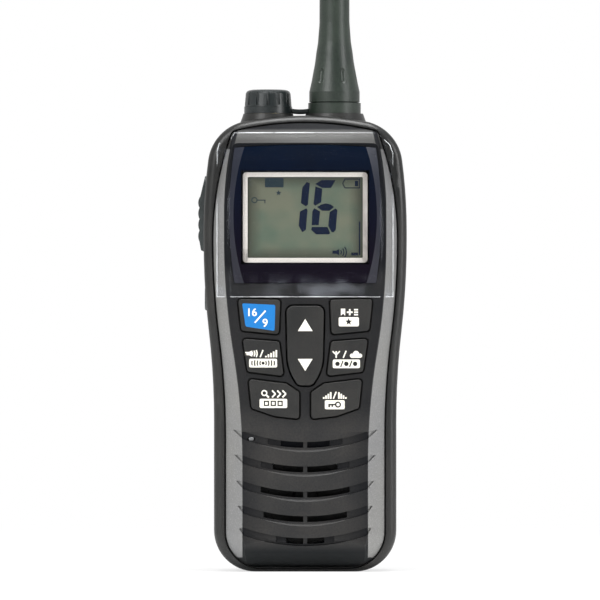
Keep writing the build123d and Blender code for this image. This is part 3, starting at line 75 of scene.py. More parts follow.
SHUT_EDGE = 0.25
SLOT_Y = -13.7              # the grille's slots are darker behind this depth
SLOT_FRONT_Y = -14.9        # and their pockets begin here
SLOT_EDGE = 0.5
FOOT_TOP = 9.0              # the chin curves under below this height, and is painted lighter there
FOOT_RISE = 4.0
KEYS_TOP = 76.5             # upper edge of the key field
KEYS_FROM = 40.0            # the webs between the keys grow dark between these heights
KEYS_TO = 47.0
LEAN = 0.3                  # a face leans when its normal has at least this share to the side or up
INK = 0.035                 # thickness of a printed legend


# ---------------------------------------------------------------- nodes and finishes
def linear(code):
    """Linear RGBA of an sRGB hex colour."""
    parts = [int(code[i:i + 2], 16) / 255 for i in (1, 3, 5)]
    return tuple(p / 12.92 if p <= 0.04045 else ((p + 0.055) / 1.055) ** 2.4 for p in parts) + (1.0,)


def add(tree, kind, inputs=None, **settings):
    """Add one node: settings are its properties, inputs are values or other nodes' outputs."""
    made = tree.nodes.new(kind)
    for name, value in settings.items():
        setattr(made, name, value)
    for name, value in (inputs or {}).items():
        if isinstance(value, bpy.types.NodeSocket):
            tree.links.new(value, made.inputs[name])
        else:
            made.inputs[name].default_value = value
    return made


def start(name):
    """A material with a Principled shader; returns it with its tree, shader and object coordinates."""
    mat = bpy.data.materials.new(name)
    mat.use_nodes = True
    tree = mat.node_tree
    shader = tree.nodes["Principled BSDF"]
    place = add(tree, "ShaderNodeTexCoord").outputs["Object"]
    return mat, tree, shader, place


def calc(tree, operation, first, second=0.0, clamp=False):
    """Output of one math node."""
    made = add(tree, "ShaderNodeMath", {0: first, 1: second}, operation=operation, use_clamp=clamp)
    return made.outputs[0]


def noise(tree, place, size_mm, detail=2.0, rough=0.5):
    """Noise whose lumps are about size_mm across."""
    inputs = {"Vector": place, "Scale": 1.0 / (size_mm * MM), "Detail": detail, "Roughness": rough}
    return add(tree, "ShaderNodeTexNoise", inputs).outputs["Fac"]


def mixed(tree, factor, first, second):
    """Colour mixed between two colours by a factor."""
    made = add(tree, "ShaderNodeMixRGB", {"Fac": factor, "Color1": first, "Color2": second})
    return made.outputs["Color"]


def remap(tree, value, low, high, to_low, to_high):
    """Value moved from one range to another, held at its ends."""
    inputs = {"Value": value, "From Min": low, "From Max": high, "To Min": to_low, "To Max": to_high}
    return add(tree, "ShaderNodeMapRange", inputs).outputs["Result"]


def feed(tree, shader, **outputs):
    """Link outputs to the shader's sockets, whose spaces are written as underscores."""
    for name, output in outputs.items():
        tree.links.new(output, shader.inputs[name.replace("_", " ")])


def relief(tree, shader, height, depth_mm):
    """Relief of this depth on the shader's surface."""
    bump = add(tree, "ShaderNodeBump", {"Height": height, "Distance": depth_mm * MM, "Strength": 1.0})
    feed(tree, shader, Normal=bump.outputs["Normal"])


def moulded(name, dark, light, rough, gloss=0.5, grain_mm=0.45, depth_mm=0.02, patch_mm=14.0):
    """Injection-moulded plastic or rubber: spark-eroded grain and slow patches of handling sheen."""
    mat, tree, shader, place = start(name)
    grain = noise(tree, place, grain_mm, 3.0, 0.6)
    patch = noise(tree, place, patch_mm, 3.0, 0.55)
    both = calc(tree, "ADD", calc(tree, "MULTIPLY", grain, 0.35), calc(tree, "MULTIPLY", patch, 0.65))
    factor = remap(tree, both, 0.35, 0.65, 0.0, 1.0)
    feed(tree, shader, Base_Color=mixed(tree, factor, linear(dark), linear(light)),
         Roughness=remap(tree, patch, 0.3, 0.7, rough - 0.05, rough + 0.06))
    shader.inputs["Specular IOR Level"].default_value = gloss
    relief(tree, shader, grain, depth_mm)
    return mat


def metal(name, colour, rough, stretch=(1.0, 1.0, 1.0), grain_mm=0.6):
    """Plated, cast or brushed metal: fine streaks along the stretch direction."""
    mat, tree, shader, place = start(name)
    streaked = add(tree, "ShaderNodeMapping", {"Vector": place, "Scale": stretch}).outputs["Vector"]
    grain = noise(tree, streaked, grain_mm, 3.0, 0.6)
    shader.inputs["Base Color"].default_value = linear(colour)
    shader.inputs["Metallic"].default_value = 1.0
    feed(tree, shader, Roughness=remap(tree, grain, 0.3, 0.7, rough - 0.06, rough + 0.08))
    relief(tree, shader, grain, 0.006)
    return mat


def printed_ink(name, colour, rough=0.5):
    """Screen-printed ink: faint pinholes in an otherwise even film."""
    mat, tree, shader, place = start(name)
    speck = noise(tree, place, 0.3, 2.0, 0.6)
    darker = tuple(c * 0.85 for c in linear(colour)[:3]) + (1.0,)
    pinhole = remap(tree, speck, 0.55, 0.75, 0.0, 1.0)
    feed(tree, shader, Base_Color=mixed(tree, pinhole, linear(colour), darker))
    shader.inputs["Roughness"].default_value = rough
    shader.inputs["Specular IOR Level"].default_value = 0.25
    relief(tree, shader, speck, 0.004)
    return mat


def silver_flake(tree, place):
    """Colour of fine aluminium-flake paint, and the flake pattern itself."""
    flake = noise(tree, place, 0.35, 2.0, 0.7)
    patch = noise(tree, place, 25.0, 2.0, 0.5)
    tint = mixed(tree, patch, linear("#7b7c80"), linear("#83827d"))
    return mixed(tree, remap(tree, flake, 0.5, 0.72, 0.0, 0.35), tint, linear("#b4b4b2")), flake


def trim_paint():
    """Side trims: polycarbonate under metallic silver-grey paint, smooth and softly shining."""
    mat, tree, shader, place = start("Metallic_silver_paint")
    colour, flake = silver_flake(tree, place)
    feed(tree, shader, Base_Color=colour)
    shader.inputs["Metallic"].default_value = 0.35
    shader.inputs["Roughness"].default_value = 0.34
    relief(tree, shader, flake, 0.004)
    return mat


def forehead_paint(tree, where):
    """Share of silver paint: on the sloped forehead and its corners, less the shut lines beside it."""
    normal = add(tree, "ShaderNodeTexCoord").outputs["Normal"]
    facing = add(tree, "ShaderNodeSeparateXYZ", {"Vector": normal}).outputs
    looks_up = calc(tree, "GREATER_THAN", facing["Z"], LEAN)
    looks_out = calc(tree, "GREATER_THAN", calc(tree, "ABSOLUTE", facing["X"]), LEAN)
    above_trims = calc(tree, "GREATER_THAN", where["Z"], SILVER_TOP * MM)
    above_lens = calc(tree, "GREATER_THAN", where["Z"], (LENS_TOP + LENS_GAP) * MM)
    corner = calc(tree, "MULTIPLY", looks_out, above_trims)
    sloped = calc(tree, "MULTIPLY", looks_up, above_trims)
    paint = calc(tree, "ADD", calc(tree, "ADD", corner, sloped, True), above_lens, True)
    paint = calc(tree, "MULTIPLY", paint, calc(tree, "LESS_THAN", where["Y"], PAINT_BACK_Y * MM))
    # painted shade: the silver fades out towards the crown, standing in for the dark reflection on the
    # upward slope as well as the paint's real edge
    fade = remap(tree, where["Z"], FADE_LOW * MM, FADE_HIGH * MM, 1.0, 0.0)
    paint = calc(tree, "MULTIPLY", paint, fade)
    widening = calc(tree, "MULTIPLY", calc(tree, "SUBTRACT", SHUT_Z * MM, where["Z"]), SHUT_SLOPE)
    line_x = calc(tree, "ADD", widening, SHUT_X * MM)
    off_line = calc(tree, "SUBTRACT", calc(tree, "ABSOLUTE", where["X"]), line_x)
    off_line = calc(tree, "ABSOLUTE", off_line)
    shut = remap(tree, off_line, SHUT_HALF * MM, (SHUT_HALF + SHUT_EDGE) * MM, 1.0, 0.0)
    shut = calc(tree, "MULTIPLY", shut, calc(tree, "LESS_THAN", where["Z"], FADE_HIGH * MM))
    return calc(tree, "MULTIPLY", paint, calc(tree, "SUBTRACT", 1.0, shut))


def web_shade(tree, where):
    """Share of shade: in the grille's pockets, between the keys and above them."""
    pocket = remap(tree, where["Y"], SLOT_FRONT_Y * MM, SLOT_Y * MM, 0.0, 0.8)
    deep = remap(tree, where["Y"], SLOT_Y * MM, (SLOT_Y + SLOT_EDGE) * MM, 0.0, 0.2)
    low_down = calc(tree, "LESS_THAN", where["Z"], GRILLE_TOP * MM)
    grille = calc(tree, "MULTIPLY", calc(tree, "ADD", pocket, deep, True), low_down)
    above_keys = remap(tree, where["Z"], KEYS_TOP * MM, GLASS_LOW * MM, 0.0, 0.85)
    between_keys = remap(tree, where["Z"], KEYS_FROM * MM, KEYS_TO * MM, 0.0, 0.5)
    return calc(tree, "MAXIMUM", calc(tree, "MAXIMUM", grille, above_keys), between_keys)


def front_shell():
    """Front case: spark-eroded polycarbonate, dull dark grey, its sloped forehead painted silver."""
    mat, tree, shader, place = start("Moulded_grey_polycarbonate")
    grain = noise(tree, place, 0.42, 3.0, 0.6)
    patch = noise(tree, place, 16.0, 3.0, 0.5)
    speck = calc(tree, "ADD", calc(tree, "MULTIPLY", grain, 0.5), calc(tree, "MULTIPLY", patch, 0.5))
    mottle = remap(tree, speck, 0.38, 0.62, 0.0, 1.0)
    plain = mixed(tree, mottle, linear("#121315"), linear("#272523"))
    where = add(tree, "ShaderNodeSeparateXYZ", {"Vector": place}).outputs
    paint = forehead_paint(tree, where)
    shade = web_shade(tree, where)
    plain = mixed(tree, shade, plain, linear("#01040b"))
    # painted light: below FOOT_TOP the chin is mixed towards a lighter grey, lifting the chin that curves
    # under and falls dark
    foot = remap(tree, where["Z"], (FOOT_TOP - FOOT_RISE) * MM, FOOT_TOP * MM, 0.22, 0.0)
    plain = mixed(tree, foot, plain, linear("#474947"))
    silver = silver_flake(tree, place)[0]
    # painted shade: 'dull' mixes the silver towards dark grey, most towards the window and least in a band
    # below the crown
    dull = remap(tree, where["Z"], PAINT_LOW * MM, (PAINT_LOW + PAINT_RISE) * MM, 0.92, 0.62)
    silver = mixed(tree, dull, silver, linear("#30302f"))
    rough = remap(tree, patch, 0.3, 0.7, 0.46, 0.56)
    # painted shade in the shine too: the specular level drops where shade is painted, outside the silver
    shade_outside_silver = calc(tree, "MULTIPLY", shade, calc(tree, "SUBTRACT", 1.0, paint))
    feed(tree, shader, Base_Color=mixed(tree, paint, plain, silver),
         Metallic=calc(tree, "MULTIPLY", paint, 0.2),
         Roughness=calc(tree, "SUBTRACT", rough, calc(tree, "MULTIPLY", paint, 0.14)),
         Specular_IOR_Level=remap(tree, shade_outside_silver, 0.0, 1.0, 0.4, 0.1))
    relief(tree, shader, grain, 0.03)
    return mat


def window_glass():
    """Window: hard-coated polycarbonate, back-printed navy black around a clear opening."""
    mat, tree, shader, place = start("Back_printed_window")
    where = add(tree, "ShaderNodeSeparateXYZ", {"Vector": place}).outputs
    inside_x = calc(tree, "LESS_THAN", calc(tree, "ABSOLUTE", where["X"]), GLASS_X * MM)
    off_middle = calc(tree, "SUBTRACT", where["Z"], (GLASS_LOW + GLASS_HIGH) / 2 * MM)
    off_middle = calc(tree, "ABSOLUTE", off_middle)
    inside_z = calc(tree, "LESS_THAN", off_middle, (GLASS_HIGH - GLASS_LOW) / 2 * MM)
    clear = calc(tree, "MULTIPLY", inside_x, inside_z)
    smear = noise(tree, place, 9.0, 2.0, 0.5)
    normal = add(tree, "ShaderNodeTexCoord").outputs["Normal"]
    facing = add(tree, "ShaderNodeSeparateXYZ", {"Vector": normal}).outputs
    facet = remap(tree, calc(tree, "ABSOLUTE", facing["X"]), 0.2, 0.5, 0.0, 0.3)
    gloss = remap(tree, smear, 0.3, 0.7, 0.06, 0.12)
    height = remap(tree, where["Z"], GLASS_LOW * MM, LENS_TOP * MM, 0.0, 1.0)
    tint = mixed(tree, height, linear("#0d0714"), linear("#031023"))
    # painted reflection: faces turned to the side are tinted grey; their added roughness is a real finish
    tint = mixed(tree, remap(tree, facet, 0.0, 0.2, 0.0, 0.45), tint, linear("#3b3d48"))
    feed(tree, shader, Base_Color=mixed(tree, calc(tree, "MULTIPLY", smear, 0.5), tint, linear("#04070c")),
         Alpha=remap(tree, clear, 0.0, 1.0, 1.0, 0.05), Roughness=calc(tree, "ADD", gloss, facet))
    shader.inputs["Specular IOR Level"].default_value = 0.2
    return mat


def liquid_crystal():
    """Display: grey-green reflective liquid crystal, slightly darker towards its edges."""
    mat, tree, shader, place = start("Reflective_liquid_crystal")
    cloud = noise(tree, place, 11.0, 2.0, 0.5)
    where = add(tree, "ShaderNodeSeparateXYZ", {"Vector": place}).outputs
    edge_x = remap(tree, calc(tree, "ABSOLUTE", where["X"]), 12.0 * MM, LCD_X * MM, 0.0, 1.0)
    off_middle = calc(tree, "ABSOLUTE", calc(tree, "SUBTRACT", where["Z"], (LCD_LOW + LCD_HIGH) / 2 * MM))
    edge_z = remap(tree, off_middle, 8.0 * MM, 11.2 * MM, 0.0, 1.0)
    edge = calc(tree, "MAXIMUM", edge_x, edge_z)
    base = mixed(tree, remap(tree, cloud, 0.38, 0.62, 0.0, 1.0), linear("#5b695c"), linear("#6d7061"))
    feed(tree, shader, Base_Color=mixed(tree, edge, base, linear("#484b42")))
    shader.inputs["Roughness"].default_value = 0.4
    shader.inputs["Specular IOR Level"].default_value = 0.1
    return mat


def assign(material, *nodes):
    """Give CAD nodes their finish."""
    for name in nodes:
        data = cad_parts[name].data
        data.materials.clear()
        data.materials.append(material)


# ---------------------------------------------------------------- modelling helpers
def deselect():
    """Leave nothing selected."""
    bpy.ops.object.select_all(action="DESELECT")


def only(piece):
    """Select this object alone and make it active."""
    deselect()
    piece.select_set(True)
    bpy.context.view_layer.objects.active = piece


def edit(piece):
    """Open a piece for modelling, all of it selected."""
    only(piece)
    bpy.ops.object.mode_set(mode="EDIT")
    bpy.ops.mesh.select_all(action="SELECT")


def close():
    """Leave edit mode."""
    bpy.ops.object.mode_set(mode="OBJECT")


def settle(piece):
    """Put the object's place, turn and scale into its mesh."""
    only(piece)
    bpy.ops.object.transform_apply(location=True, rotation=True, scale=True)
    return piece


def apply_all(piece):
    """Turn the modifiers of a piece into mesh."""
    only(piece)
    for name in [modifier.name for modifier in piece.modifiers]:
        bpy.ops.object.modifier_apply(modifier=name)
    return piece


def joined(pieces):
    """Join several meshes into the first."""
    deselect()
    for piece in pieces:
        piece.select_set(True)
    bpy.context.view_layer.objects.active = pieces[0]
    if len(pieces) > 1:
        bpy.ops.object.join()
    return pieces[0]


def finished(piece, name, material, body, smooth_deg=35):
    """Name a piece, give it its material, smooth it and let it ride."""
    only(piece)
    piece.name = name
    piece.data.materials.clear()
    piece.data.materials.append(material)
    bpy.ops.object.shade_smooth_by_angle(angle=math.radians(smooth_deg))
    if body:
        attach(piece, body)
    return piece


# ---------------------------------------------------------------- flat shapes, upright and facing forwards
def plate(x, z, width, height, turn=0.0):
    """Rectangle centred at x, z; a positive turn leans its top to the right."""
    deselect()
    bpy.ops.mesh.primitive_plane_add(size=MM, location=(x * MM, 0, z * MM),
                                     rotation=(math.pi / 2, math.radians(turn), 0))
    piece = bpy.context.object
    piece.scale = (width, height, 1)
    return settle(piece)


def stroke(x0, z0, x1, z1, width):
    """Straight line of even width between two points."""
    turn = math.degrees(math.atan2(x1 - x0, z1 - z0))
    return plate((x0 + x1) / 2, (z0 + z1) / 2, width, math.hypot(x1 - x0, z1 - z0), turn)


def rounded(piece, radius, steps=4):
    """Round the corners of a flat shape."""
    edit(piece)
    bpy.ops.mesh.bevel(offset=radius * MM, segments=steps, affect="VERTICES", clamp_overlap=True)
    bpy.ops.mesh.remove_doubles(threshold=0.005 * MM)
    close()
    return piece


def pill(x0, x1, z0, z1, radius=0.4):
    """Rectangle with rounded corners."""
    return rounded(plate((x0 + x1) / 2, (z0 + z1) / 2, x1 - x0, z1 - z0), radius)


def disc(x, z, radius, corners=24, turn=0.0):
    """Regular flat shape, such as a dot or a triangle that points up."""
    deselect()
    bpy.ops.mesh.primitive_circle_add(vertices=corners, radius=radius * MM, fill_type="NGON",
                                      location=(x * MM, 0, z * MM),
                                      rotation=(math.pi / 2, math.radians(turn), 0))
    return settle(bpy.context.object)


def stretched(piece, x, z, wide, tall):
    """Resize a flat shape about a point."""
    edit(piece)
    bpy.ops.transform.resize(value=(wide, 1, tall), center_override=(x * MM, 0, z * MM))
    close()
    return piece


def pick_corners(piece, chosen):
    """Open a piece with only those corners selected that a test on number, x and z (in mm) picks out."""
    edit(piece)
    bpy.ops.mesh.select_mode(type="VERT")
    bpy.ops.mesh.select_all(action="DESELECT")
    close()
    for i, vertex in enumerate(piece.data.vertices):
        vertex.select = chosen(i, vertex.co.x / MM, vertex.co.z / MM)
    bpy.ops.object.mode_set(mode="EDIT")


def pushed(piece, chosen, dx, dz):
    """Move the corners that a test picks out."""
    pick_corners(piece, chosen)
    bpy.ops.transform.translate(value=(dx * MM, 0, dz * MM))
    close()
    return piece


def outlined(corners):
    """Flat shape with these corners, anticlockwise: a disc whose corners are moved to them."""
    piece = disc(corners[0][0], corners[0][1], 1.0, len(corners))
    for number, (x, z) in enumerate(corners):
        at = piece.data.vertices[number].co
        pushed(piece, lambda i, px, pz: i == number, x - at.x / MM, z - at.z / MM)
    return piece


def star(x, z, radius):
    """Five-pointed star: every other corner of a ten-sided disc is drawn in."""
    piece = disc(x, z, radius, 10)
    pick_corners(piece, lambda i, px, pz: i % 2 == 1)
    bpy.ops.transform.resize(value=(0.42, 1, 0.42), center_override=(x * MM, 0, z * MM))
    close()
    return piece


def ring(x, z, radius, width):
    """Flat ring; the radius is that of its outer edge."""
    piece = disc(x, z, radius, 28)
    edit(piece)
    bpy.ops.mesh.select_mode(type="FACE")
    bpy.ops.mesh.select_all(action="SELECT")
    bpy.ops.mesh.inset(thickness=width * MM, use_boundary=True)
    bpy.ops.mesh.delete(type="FACE")
    close()
    return piece


def cut_away(piece, x, z, toward):
    """Remove what lies beyond a line through x, z, on the side that an angle in degrees points to."""
    edit(piece)
    way = (math.cos(math.radians(toward)), 0, math.sin(math.radians(toward)))
    bpy.ops.mesh.bisect(plane_co=(x * MM, 0, z * MM), plane_no=way, clear_outer=True)
    close()
    return piece


def bow(x, z, radius, width, middle, spread):
    """Arc of a ring, centred on an angle in degrees and less than half a turn long."""
    piece = ring(x, z, radius, width)
    cut_away(piece, x, z, middle + spread / 2 + 90)
    return cut_away(piece, x, z, middle - spread / 2 - 90)


def numeral(text, x, z, height, thick=0.0):
    """Plain number whose foot starts at x, z."""
    deselect()
    bpy.ops.object.text_add(location=(x * MM, 0, z * MM), rotation=(math.pi / 2, 0, 0))
    words = bpy.context.object
    words.data.body = text
    words.data.size = height * MM / 0.73
    words.data.offset = thick
    words.data.resolution_u = 5
    bpy.ops.object.convert(target="MESH")
    return settle(bpy.context.object)


def film(piece, thickness=INK):
    """Thicken a flat shape forwards into a closed film."""
    coat = piece.modifiers.new("coat", "SOLIDIFY")
    coat.thickness = thickness * MM
    coat.offset = 1.0
    return apply_all(piece)


def printed(shapes, name, material, node, body, coats=1):
    """Lay flat shapes on the front of a CAD node as a thin film of ink."""
    piece = joined(shapes)
    low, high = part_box(node)
    edit(piece)
    bpy.ops.mesh.remove_doubles(threshold=0.002 * MM)
    for i in range(int((high.x - low.x) / MM)):
        bpy.ops.mesh.select_all(action="SELECT")
        bpy.ops.mesh.bisect(plane_co=(low.x + i * MM, 0, 0), plane_no=(1, 0, 0))
    bpy.ops.mesh.select_all(action="SELECT")
    bpy.ops.transform.translate(value=(0, low.y - 5 * MM, 0))
    close()
    cling = piece.modifiers.new("cling", "SHRINKWRAP")
    cling.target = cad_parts[node]
    cling.wrap_method = "PROJECT"
    cling.use_project_y = True
    cling.use_positive_direction = True
    cling.use_negative_direction = False
    cling.offset = 0.0
    apply_all(piece)
    edit(piece)
    bpy.ops.transform.translate(value=(0, -(coats - 1) * INK * MM, 0))
    close()
    return finished(film(piece), name, material, body, 20)


# ---------------------------------------------------------------- studio
PX_PER_MM = 3.604           # rendered pixels per millimetre at the radio's front
BASE_ROW = 572.5            # rendered row of the foot
MIDDLE_COLUMN = 305.2       # rendered column of the middle
PICTURE = 600
LENS_MM = 500.0
SENSOR_MM = 36.0


def studio():
    """Camera square to the front, pale floor, white surround and soft boxes."""
    scene = bpy.context.scene
    data = bpy.data.cameras.new("studio_camera")
    data.lens = LENS_MM
    data.sensor_width = SENSOR_MM
    data.clip_start = 0.01
    data.clip_end = 50
    camera = bpy.data.objects.new("studio_camera", data)
    scene.collection.objects.link(camera)
    distance = PICTURE * LENS_MM / SENSOR_MM / PX_PER_MM
    x = (PICTURE / 2 - MIDDLE_COLUMN) / PX_PER_MM
    z = (BASE_ROW - PICTURE / 2) / PX_PER_MM
    camera.location = (x * MM, (PANEL_Y - distance) * MM, z * MM)
    camera.rotation_euler = (math.pi / 2, 0, 0)
    scene.camera = camera
    scene.view_settings.view_transform = "Standard"
    white_room(scene)
    soft_box("key_box", (-0.55, -0.75, 0.60), (0.40, 0.55), 5.5)
    soft_box("fill_box", (0.80, -0.50, 0.35), (0.30, 0.60), 3.5)
    soft_box("top_box", (0.05, -0.15, 0.95), (0.7, 0.35), 9.0)
    deselect()
    bpy.ops.mesh.primitive_plane_add(size=30)
    floor = bpy.context.object
    floor.name = "floor"
    floor.data.materials.append(floor_paint())


def white_room(scene):
    """World: white where it is seen; as a light it is dim in front of the radio and brighter round it."""
    world = bpy.data.worlds.new("white_studio")
    scene.world = world
    world.use_nodes = True
    tree = world.node_tree
    tree.nodes.clear()
    way = add(tree, "ShaderNodeTexCoord").outputs["Generated"]
    forwards = add(tree, "ShaderNodeSeparateXYZ", {"Vector": way}).outputs["Y"]
    level = remap(tree, forwards, -1.0, 0.1, 0.25, 0.75)
    fill = add(tree, "ShaderNodeBackground", {"Color": (1, 1, 1, 1), "Strength": level})
    room = add(tree, "ShaderNodeBackground", {"Color": (1, 1, 1, 1), "Strength": 1.0})
    mix = add(tree, "ShaderNodeMixShader", {0: is_seen(tree), 1: fill.outputs[0], 2: room.outputs[0]})
    add(tree, "ShaderNodeOutputWorld", {"Surface": mix.outputs[0]})


def is_seen(tree):
    """1 for what the camera sees, straight or through glass."""
    rays = add(tree, "ShaderNodeLightPath").outputs
    return calc(tree, "ADD", rays["Is Camera Ray"], rays["Is Transmission Ray"], True)


def soft_box(name, place, size, power):
    """Rectangular area lamp that looks at the middle of the radio."""
    data = bpy.data.lights.new(name, "AREA")
    data.shape = "RECTANGLE"
    data.size = size[0]
    data.size_y = size[1]
    data.energy = power
    lamp = bpy.data.objects.new(name, data)
    lamp.location = place
    lamp.rotation_euler = (Vector((0, 0, 0.08)) - Vector(place)).to_track_quat("-Z", "Y").to_euler()
    bpy.context.scene.collection.objects.link(lamp)


def floor_paint():
    """White matte sweep: it keeps the radio's soft shadow near by and is pure white far off."""
    mat, tree, shader, place = start("White_sweep")
    shader.inputs["Base Color"].default_value = (0.86, 0.86, 0.86, 1)
    shader.inputs["Roughness"].default_value = 0.9
    far = add(tree, "ShaderNodeVectorMath", {0: place}, operation="LENGTH").outputs["Value"]
    share = calc(tree, "MULTIPLY", is_seen(tree), remap(tree, far, 0.06, 0.45, 0.7, 1.0))
    white = add(tree, "ShaderNodeEmission", {"Color": (1, 1, 1, 1), "Strength": 1.0})
    mix = add(tree, "ShaderNodeMixShader", {0: share, 1: shader.outputs[0], 2: white.outputs[0]})
    tree.links.new(mix.outputs[0], tree.nodes["Material Output"].inputs["Surface"])
    return mat


# ---------------------------------------------------------------- finishes of the CAD pieces
def dress_outside():
    """Finish the pieces that the hand touches; returns the cap's rubber for the strap."""
    # black ABS, spark-eroded: dull on the flats and softly shining on the shoulders
    black_case = moulded("Moulded_black_ABS", "#090c0d", "#1a1916", 0.36, 0.5, 0.5, 0.035)
    # silicone rubber keys, moulded: matte and even, with a finer grain than the case
    keypad = moulded("Moulded_silicone_keys", "#151617", "#2a2927", 0.5, 0.33, 0.4, 0.025)
    # polyurethane over the whip, moulded: a greenish black with a broad soft shine
    rubber = moulded("Moulded_green_black_rubber", "#111a16", "#29332a", 0.38, 0.5, 0.5, 0.04)
    # the cap's harder, darker rubber: its flutes catch sharp streaks of light
    cap = moulded("Moulded_black_cap_rubber", "#0a1011", "#1d2425", 0.3, 0.55, 0.45, 0.03)
    # soft-touch rubber over the side buttons: paler than the case and duller
    soft = moulded("Soft_touch_grey_rubber", "#262b2b", "#3d4343", 0.42, 0.5, 0.4, 0.02)
    # glass-filled nylon, moulded: black with a slight sheen
    clip = moulded("Moulded_nylon_clip", "#0b0b0b", "#121212", 0.42, 0.4, 0.5, 0.02)
    # frosted polycarbonate: pale and half clear, with a bright highlight
    lamp = moulded("Frosted_clear_lens", "#c9ced0", "#d8dcdd", 0.18, 0.5, 0.8, 0.004)
    # blackened steel: dark metal that glints only on the edges of its sockets
    screw = metal("Blackened_steel_screws", "#4a4b4d", 0.38)
    assign(black_case, "rear_case", "battery_cover")
    assign(front_shell(), "front_case")
    assign(trim_paint(), "side_trim_left", "side_trim_right")
    assign(window_glass(), "window_lens")
    assign(keypad, "key_sixteen", "key_favourite", "key_volume", "key_channel", "key_scan",
           "key_power_level", "key_up_down")
    assign(rubber, "antenna_whip", "tether_anchor", "usb_cover")
    assign(cap, "jack_cap", "tether_eyelet", "tether_strap")
    assign(soft, "ptt_button", "power_button")
    assign(clip, "clip_plate", "clip_arm", "ptt_switch", "power_switch")
    assign(lamp, "flasher_lens")
    assign(screw, "board_screws", "cover_screws", "case_screws", "clip_screws")
    return cap


def dress_inside():
    """Finish the display and what the case holds."""
    # white ABS, moulded smooth: an even warm white, hardly shining
    pale = moulded("White_display_frame_plastic", "#e3ded8", "#ede8e2", 0.5, 0.2, 0.6, 0.004)
    # cast acrylic: milky, polished edges
    milky = moulded("Milky_acrylic", "#d8dbd8", "#e4e6e2", 0.3, 0.5, 0.8, 0.002)
    # silicone sheet: flat grey without a highlight
    silicone = moulded("Grey_silicone_sheet", "#17191b", "#1e2022", 0.6, 0.3, 0.6, 0.01)
    # nitrile gaskets: the dullest black of all
    gasket = moulded("Soft_gasket_rubber", "#040505", "#080808", 0.7, 0.2, 0.5, 0.01)
    # shrunk PVC sleeve: dark, with a mild shine
    wrap = moulded("Battery_sleeve_plastic", "#1a1c20", "#22252a", 0.45, 0.5, 0.6, 0.02)
    # solder mask over glass epoxy: smooth dark green
    mask = moulded("Green_solder_mask", "#123d20", "#194c29", 0.35, 0.5, 0.7, 0.006)
    # pulp paper, treated against damp: black and fibrous
    cone = moulded("Treated_paper_cone", "#0b0b0b", "#131313", 0.75, 0.3, 0.5, 0.03)
    # stainless steel, brushed upwards: long fine streaks
    steel = metal("Brushed_steel", "#b6b8ba", 0.32, (1.0, 1.0, 0.08))
    # brass under nickel: pale yellow and bright
    brass = metal("Nickel_plated_brass", "#c8b98c", 0.28)
    # aluminium as it leaves the die: pale grey and dull
    cast = metal("Die_cast_aluminium", "#a7aaad", 0.45)
    # zinc-plated ferrite: darker than the steel round it
    magnet = metal("Plated_ferrite_magnet", "#7b7d80", 0.35)
    assign(liquid_crystal(), "display_glass")
    assign(pale, "display_frame")
    assign(milky, "display_light_guide")
    assign(silicone, "keypad_membrane")
    assign(gasket, "case_gasket", "speaker_seal", "microphone_boot", "battery_seal", "ptt_seal",
           "antenna_seal")
    assign(wrap, "battery_pack")
    assign(mask, "logic_board", "main_board")
    assign(cone, "speaker_cone")
    assign(steel, "board_shields", "speaker_basket", "microphone", "clip_pin", "clip_spring",
           "antenna_core", "usb_socket")
    assign(brass, "board_spacers", "battery_contacts", "accessory_jack", "antenna_plug", "antenna_jack",
           "antenna_feed")
    assign(cast, "chassis_frame")
    assign(magnet, "speaker_magnet")


# ---------------------------------------------------------------- printed legends
def key_legends():
    """Numbers and plain signs on the keys."""
    white = printed_ink("Screen_printed_white_ink", "#f2eee2")
    dark = printed_ink("Knocked_out_dark_ink", "#1c1c1b")
    blue = printed_ink("Screen_printed_blue_ink", "#1973bb", 0.42)
    up_down_signs(white)
    sixteen_signs(white, blue)
    favourite_signs(white, dark)
    volume_signs(white, dark)
    channel_signs(white, dark)
    scan_signs(white, dark)
    power_level_signs(white, dark)


def up_down_signs(white):
    """Arrowheads of the rocker: a three-cornered disc stretched to size."""
    node = "key_up_down"
    radius = 1.0
    wide = 2.05 / (radius * math.cos(math.radians(30)))
    tall = 3.35 / (1.5 * radius)
    up = stretched(disc(0, 68.1, radius, 3), 0, 68.1, wide, tall)
    down = stretched(disc(0, 58.15, radius, 3, 180), 0, 58.15, wide, tall)
    printed([up, down], "legend_up_down", white, node, node)


def sixteen_signs(white, blue):
    """Calling-channel key: blue field with two numbers and a slash."""
    node = "key_sixteen"
    field = plate(-13.0, 71.0, 9.2, 7.0)
    pushed(field, lambda i, x, z: x < -13 and z > 71, 0.1, 0.2)
    pushed(field, lambda i, x, z: x > -13 and z > 71, 0.1, -0.25)
    pushed(field, lambda i, x, z: x < -13 and z < 71, 1.05, 0.75)
    pushed(field, lambda i, x, z: x > -13 and z < 71, -0.1, -0.45)
    printed([rounded(field, 0.45)], "field_sixteen", blue, node, node)
    slash = stroke(-14.0, 69.3, -11.0, 72.65, 0.42)
    numbers = [numeral("16", -16.35, 71.2, 2.2, 0.05 * MM), numeral("9", -11.9, 68.2, 2.3, 0.05 * MM)]
    numbers += [slash]
    printed(numbers, "legend_sixteen", white, node, node, 2)


def favourite_signs(white, dark):
    """Favourite key: ribbon and plus, above a field with a star."""
    node = "key_favourite"
    ribbon = [outlined([(9.9, 73.2), (9.9, 71.25), (10.5, 71.85), (11.1, 71.25), (11.1, 73.2)])]
    plus = [plate(12.35, 72.22, 1.6, 0.45), plate(12.35, 72.22, 0.45, 1.7)]
    bars = [plate(14.1, 71.55 + 0.68 * i, 1.1, 0.42) for i in range(3)]
    printed(ribbon + plus + bars + [pill(9.3, 14.9, 68.3, 70.85)], "legend_favourite", white, node, node)
    printed([star(12.06, 69.57, 1.05)], "star_favourite", dark, node, node, 2)


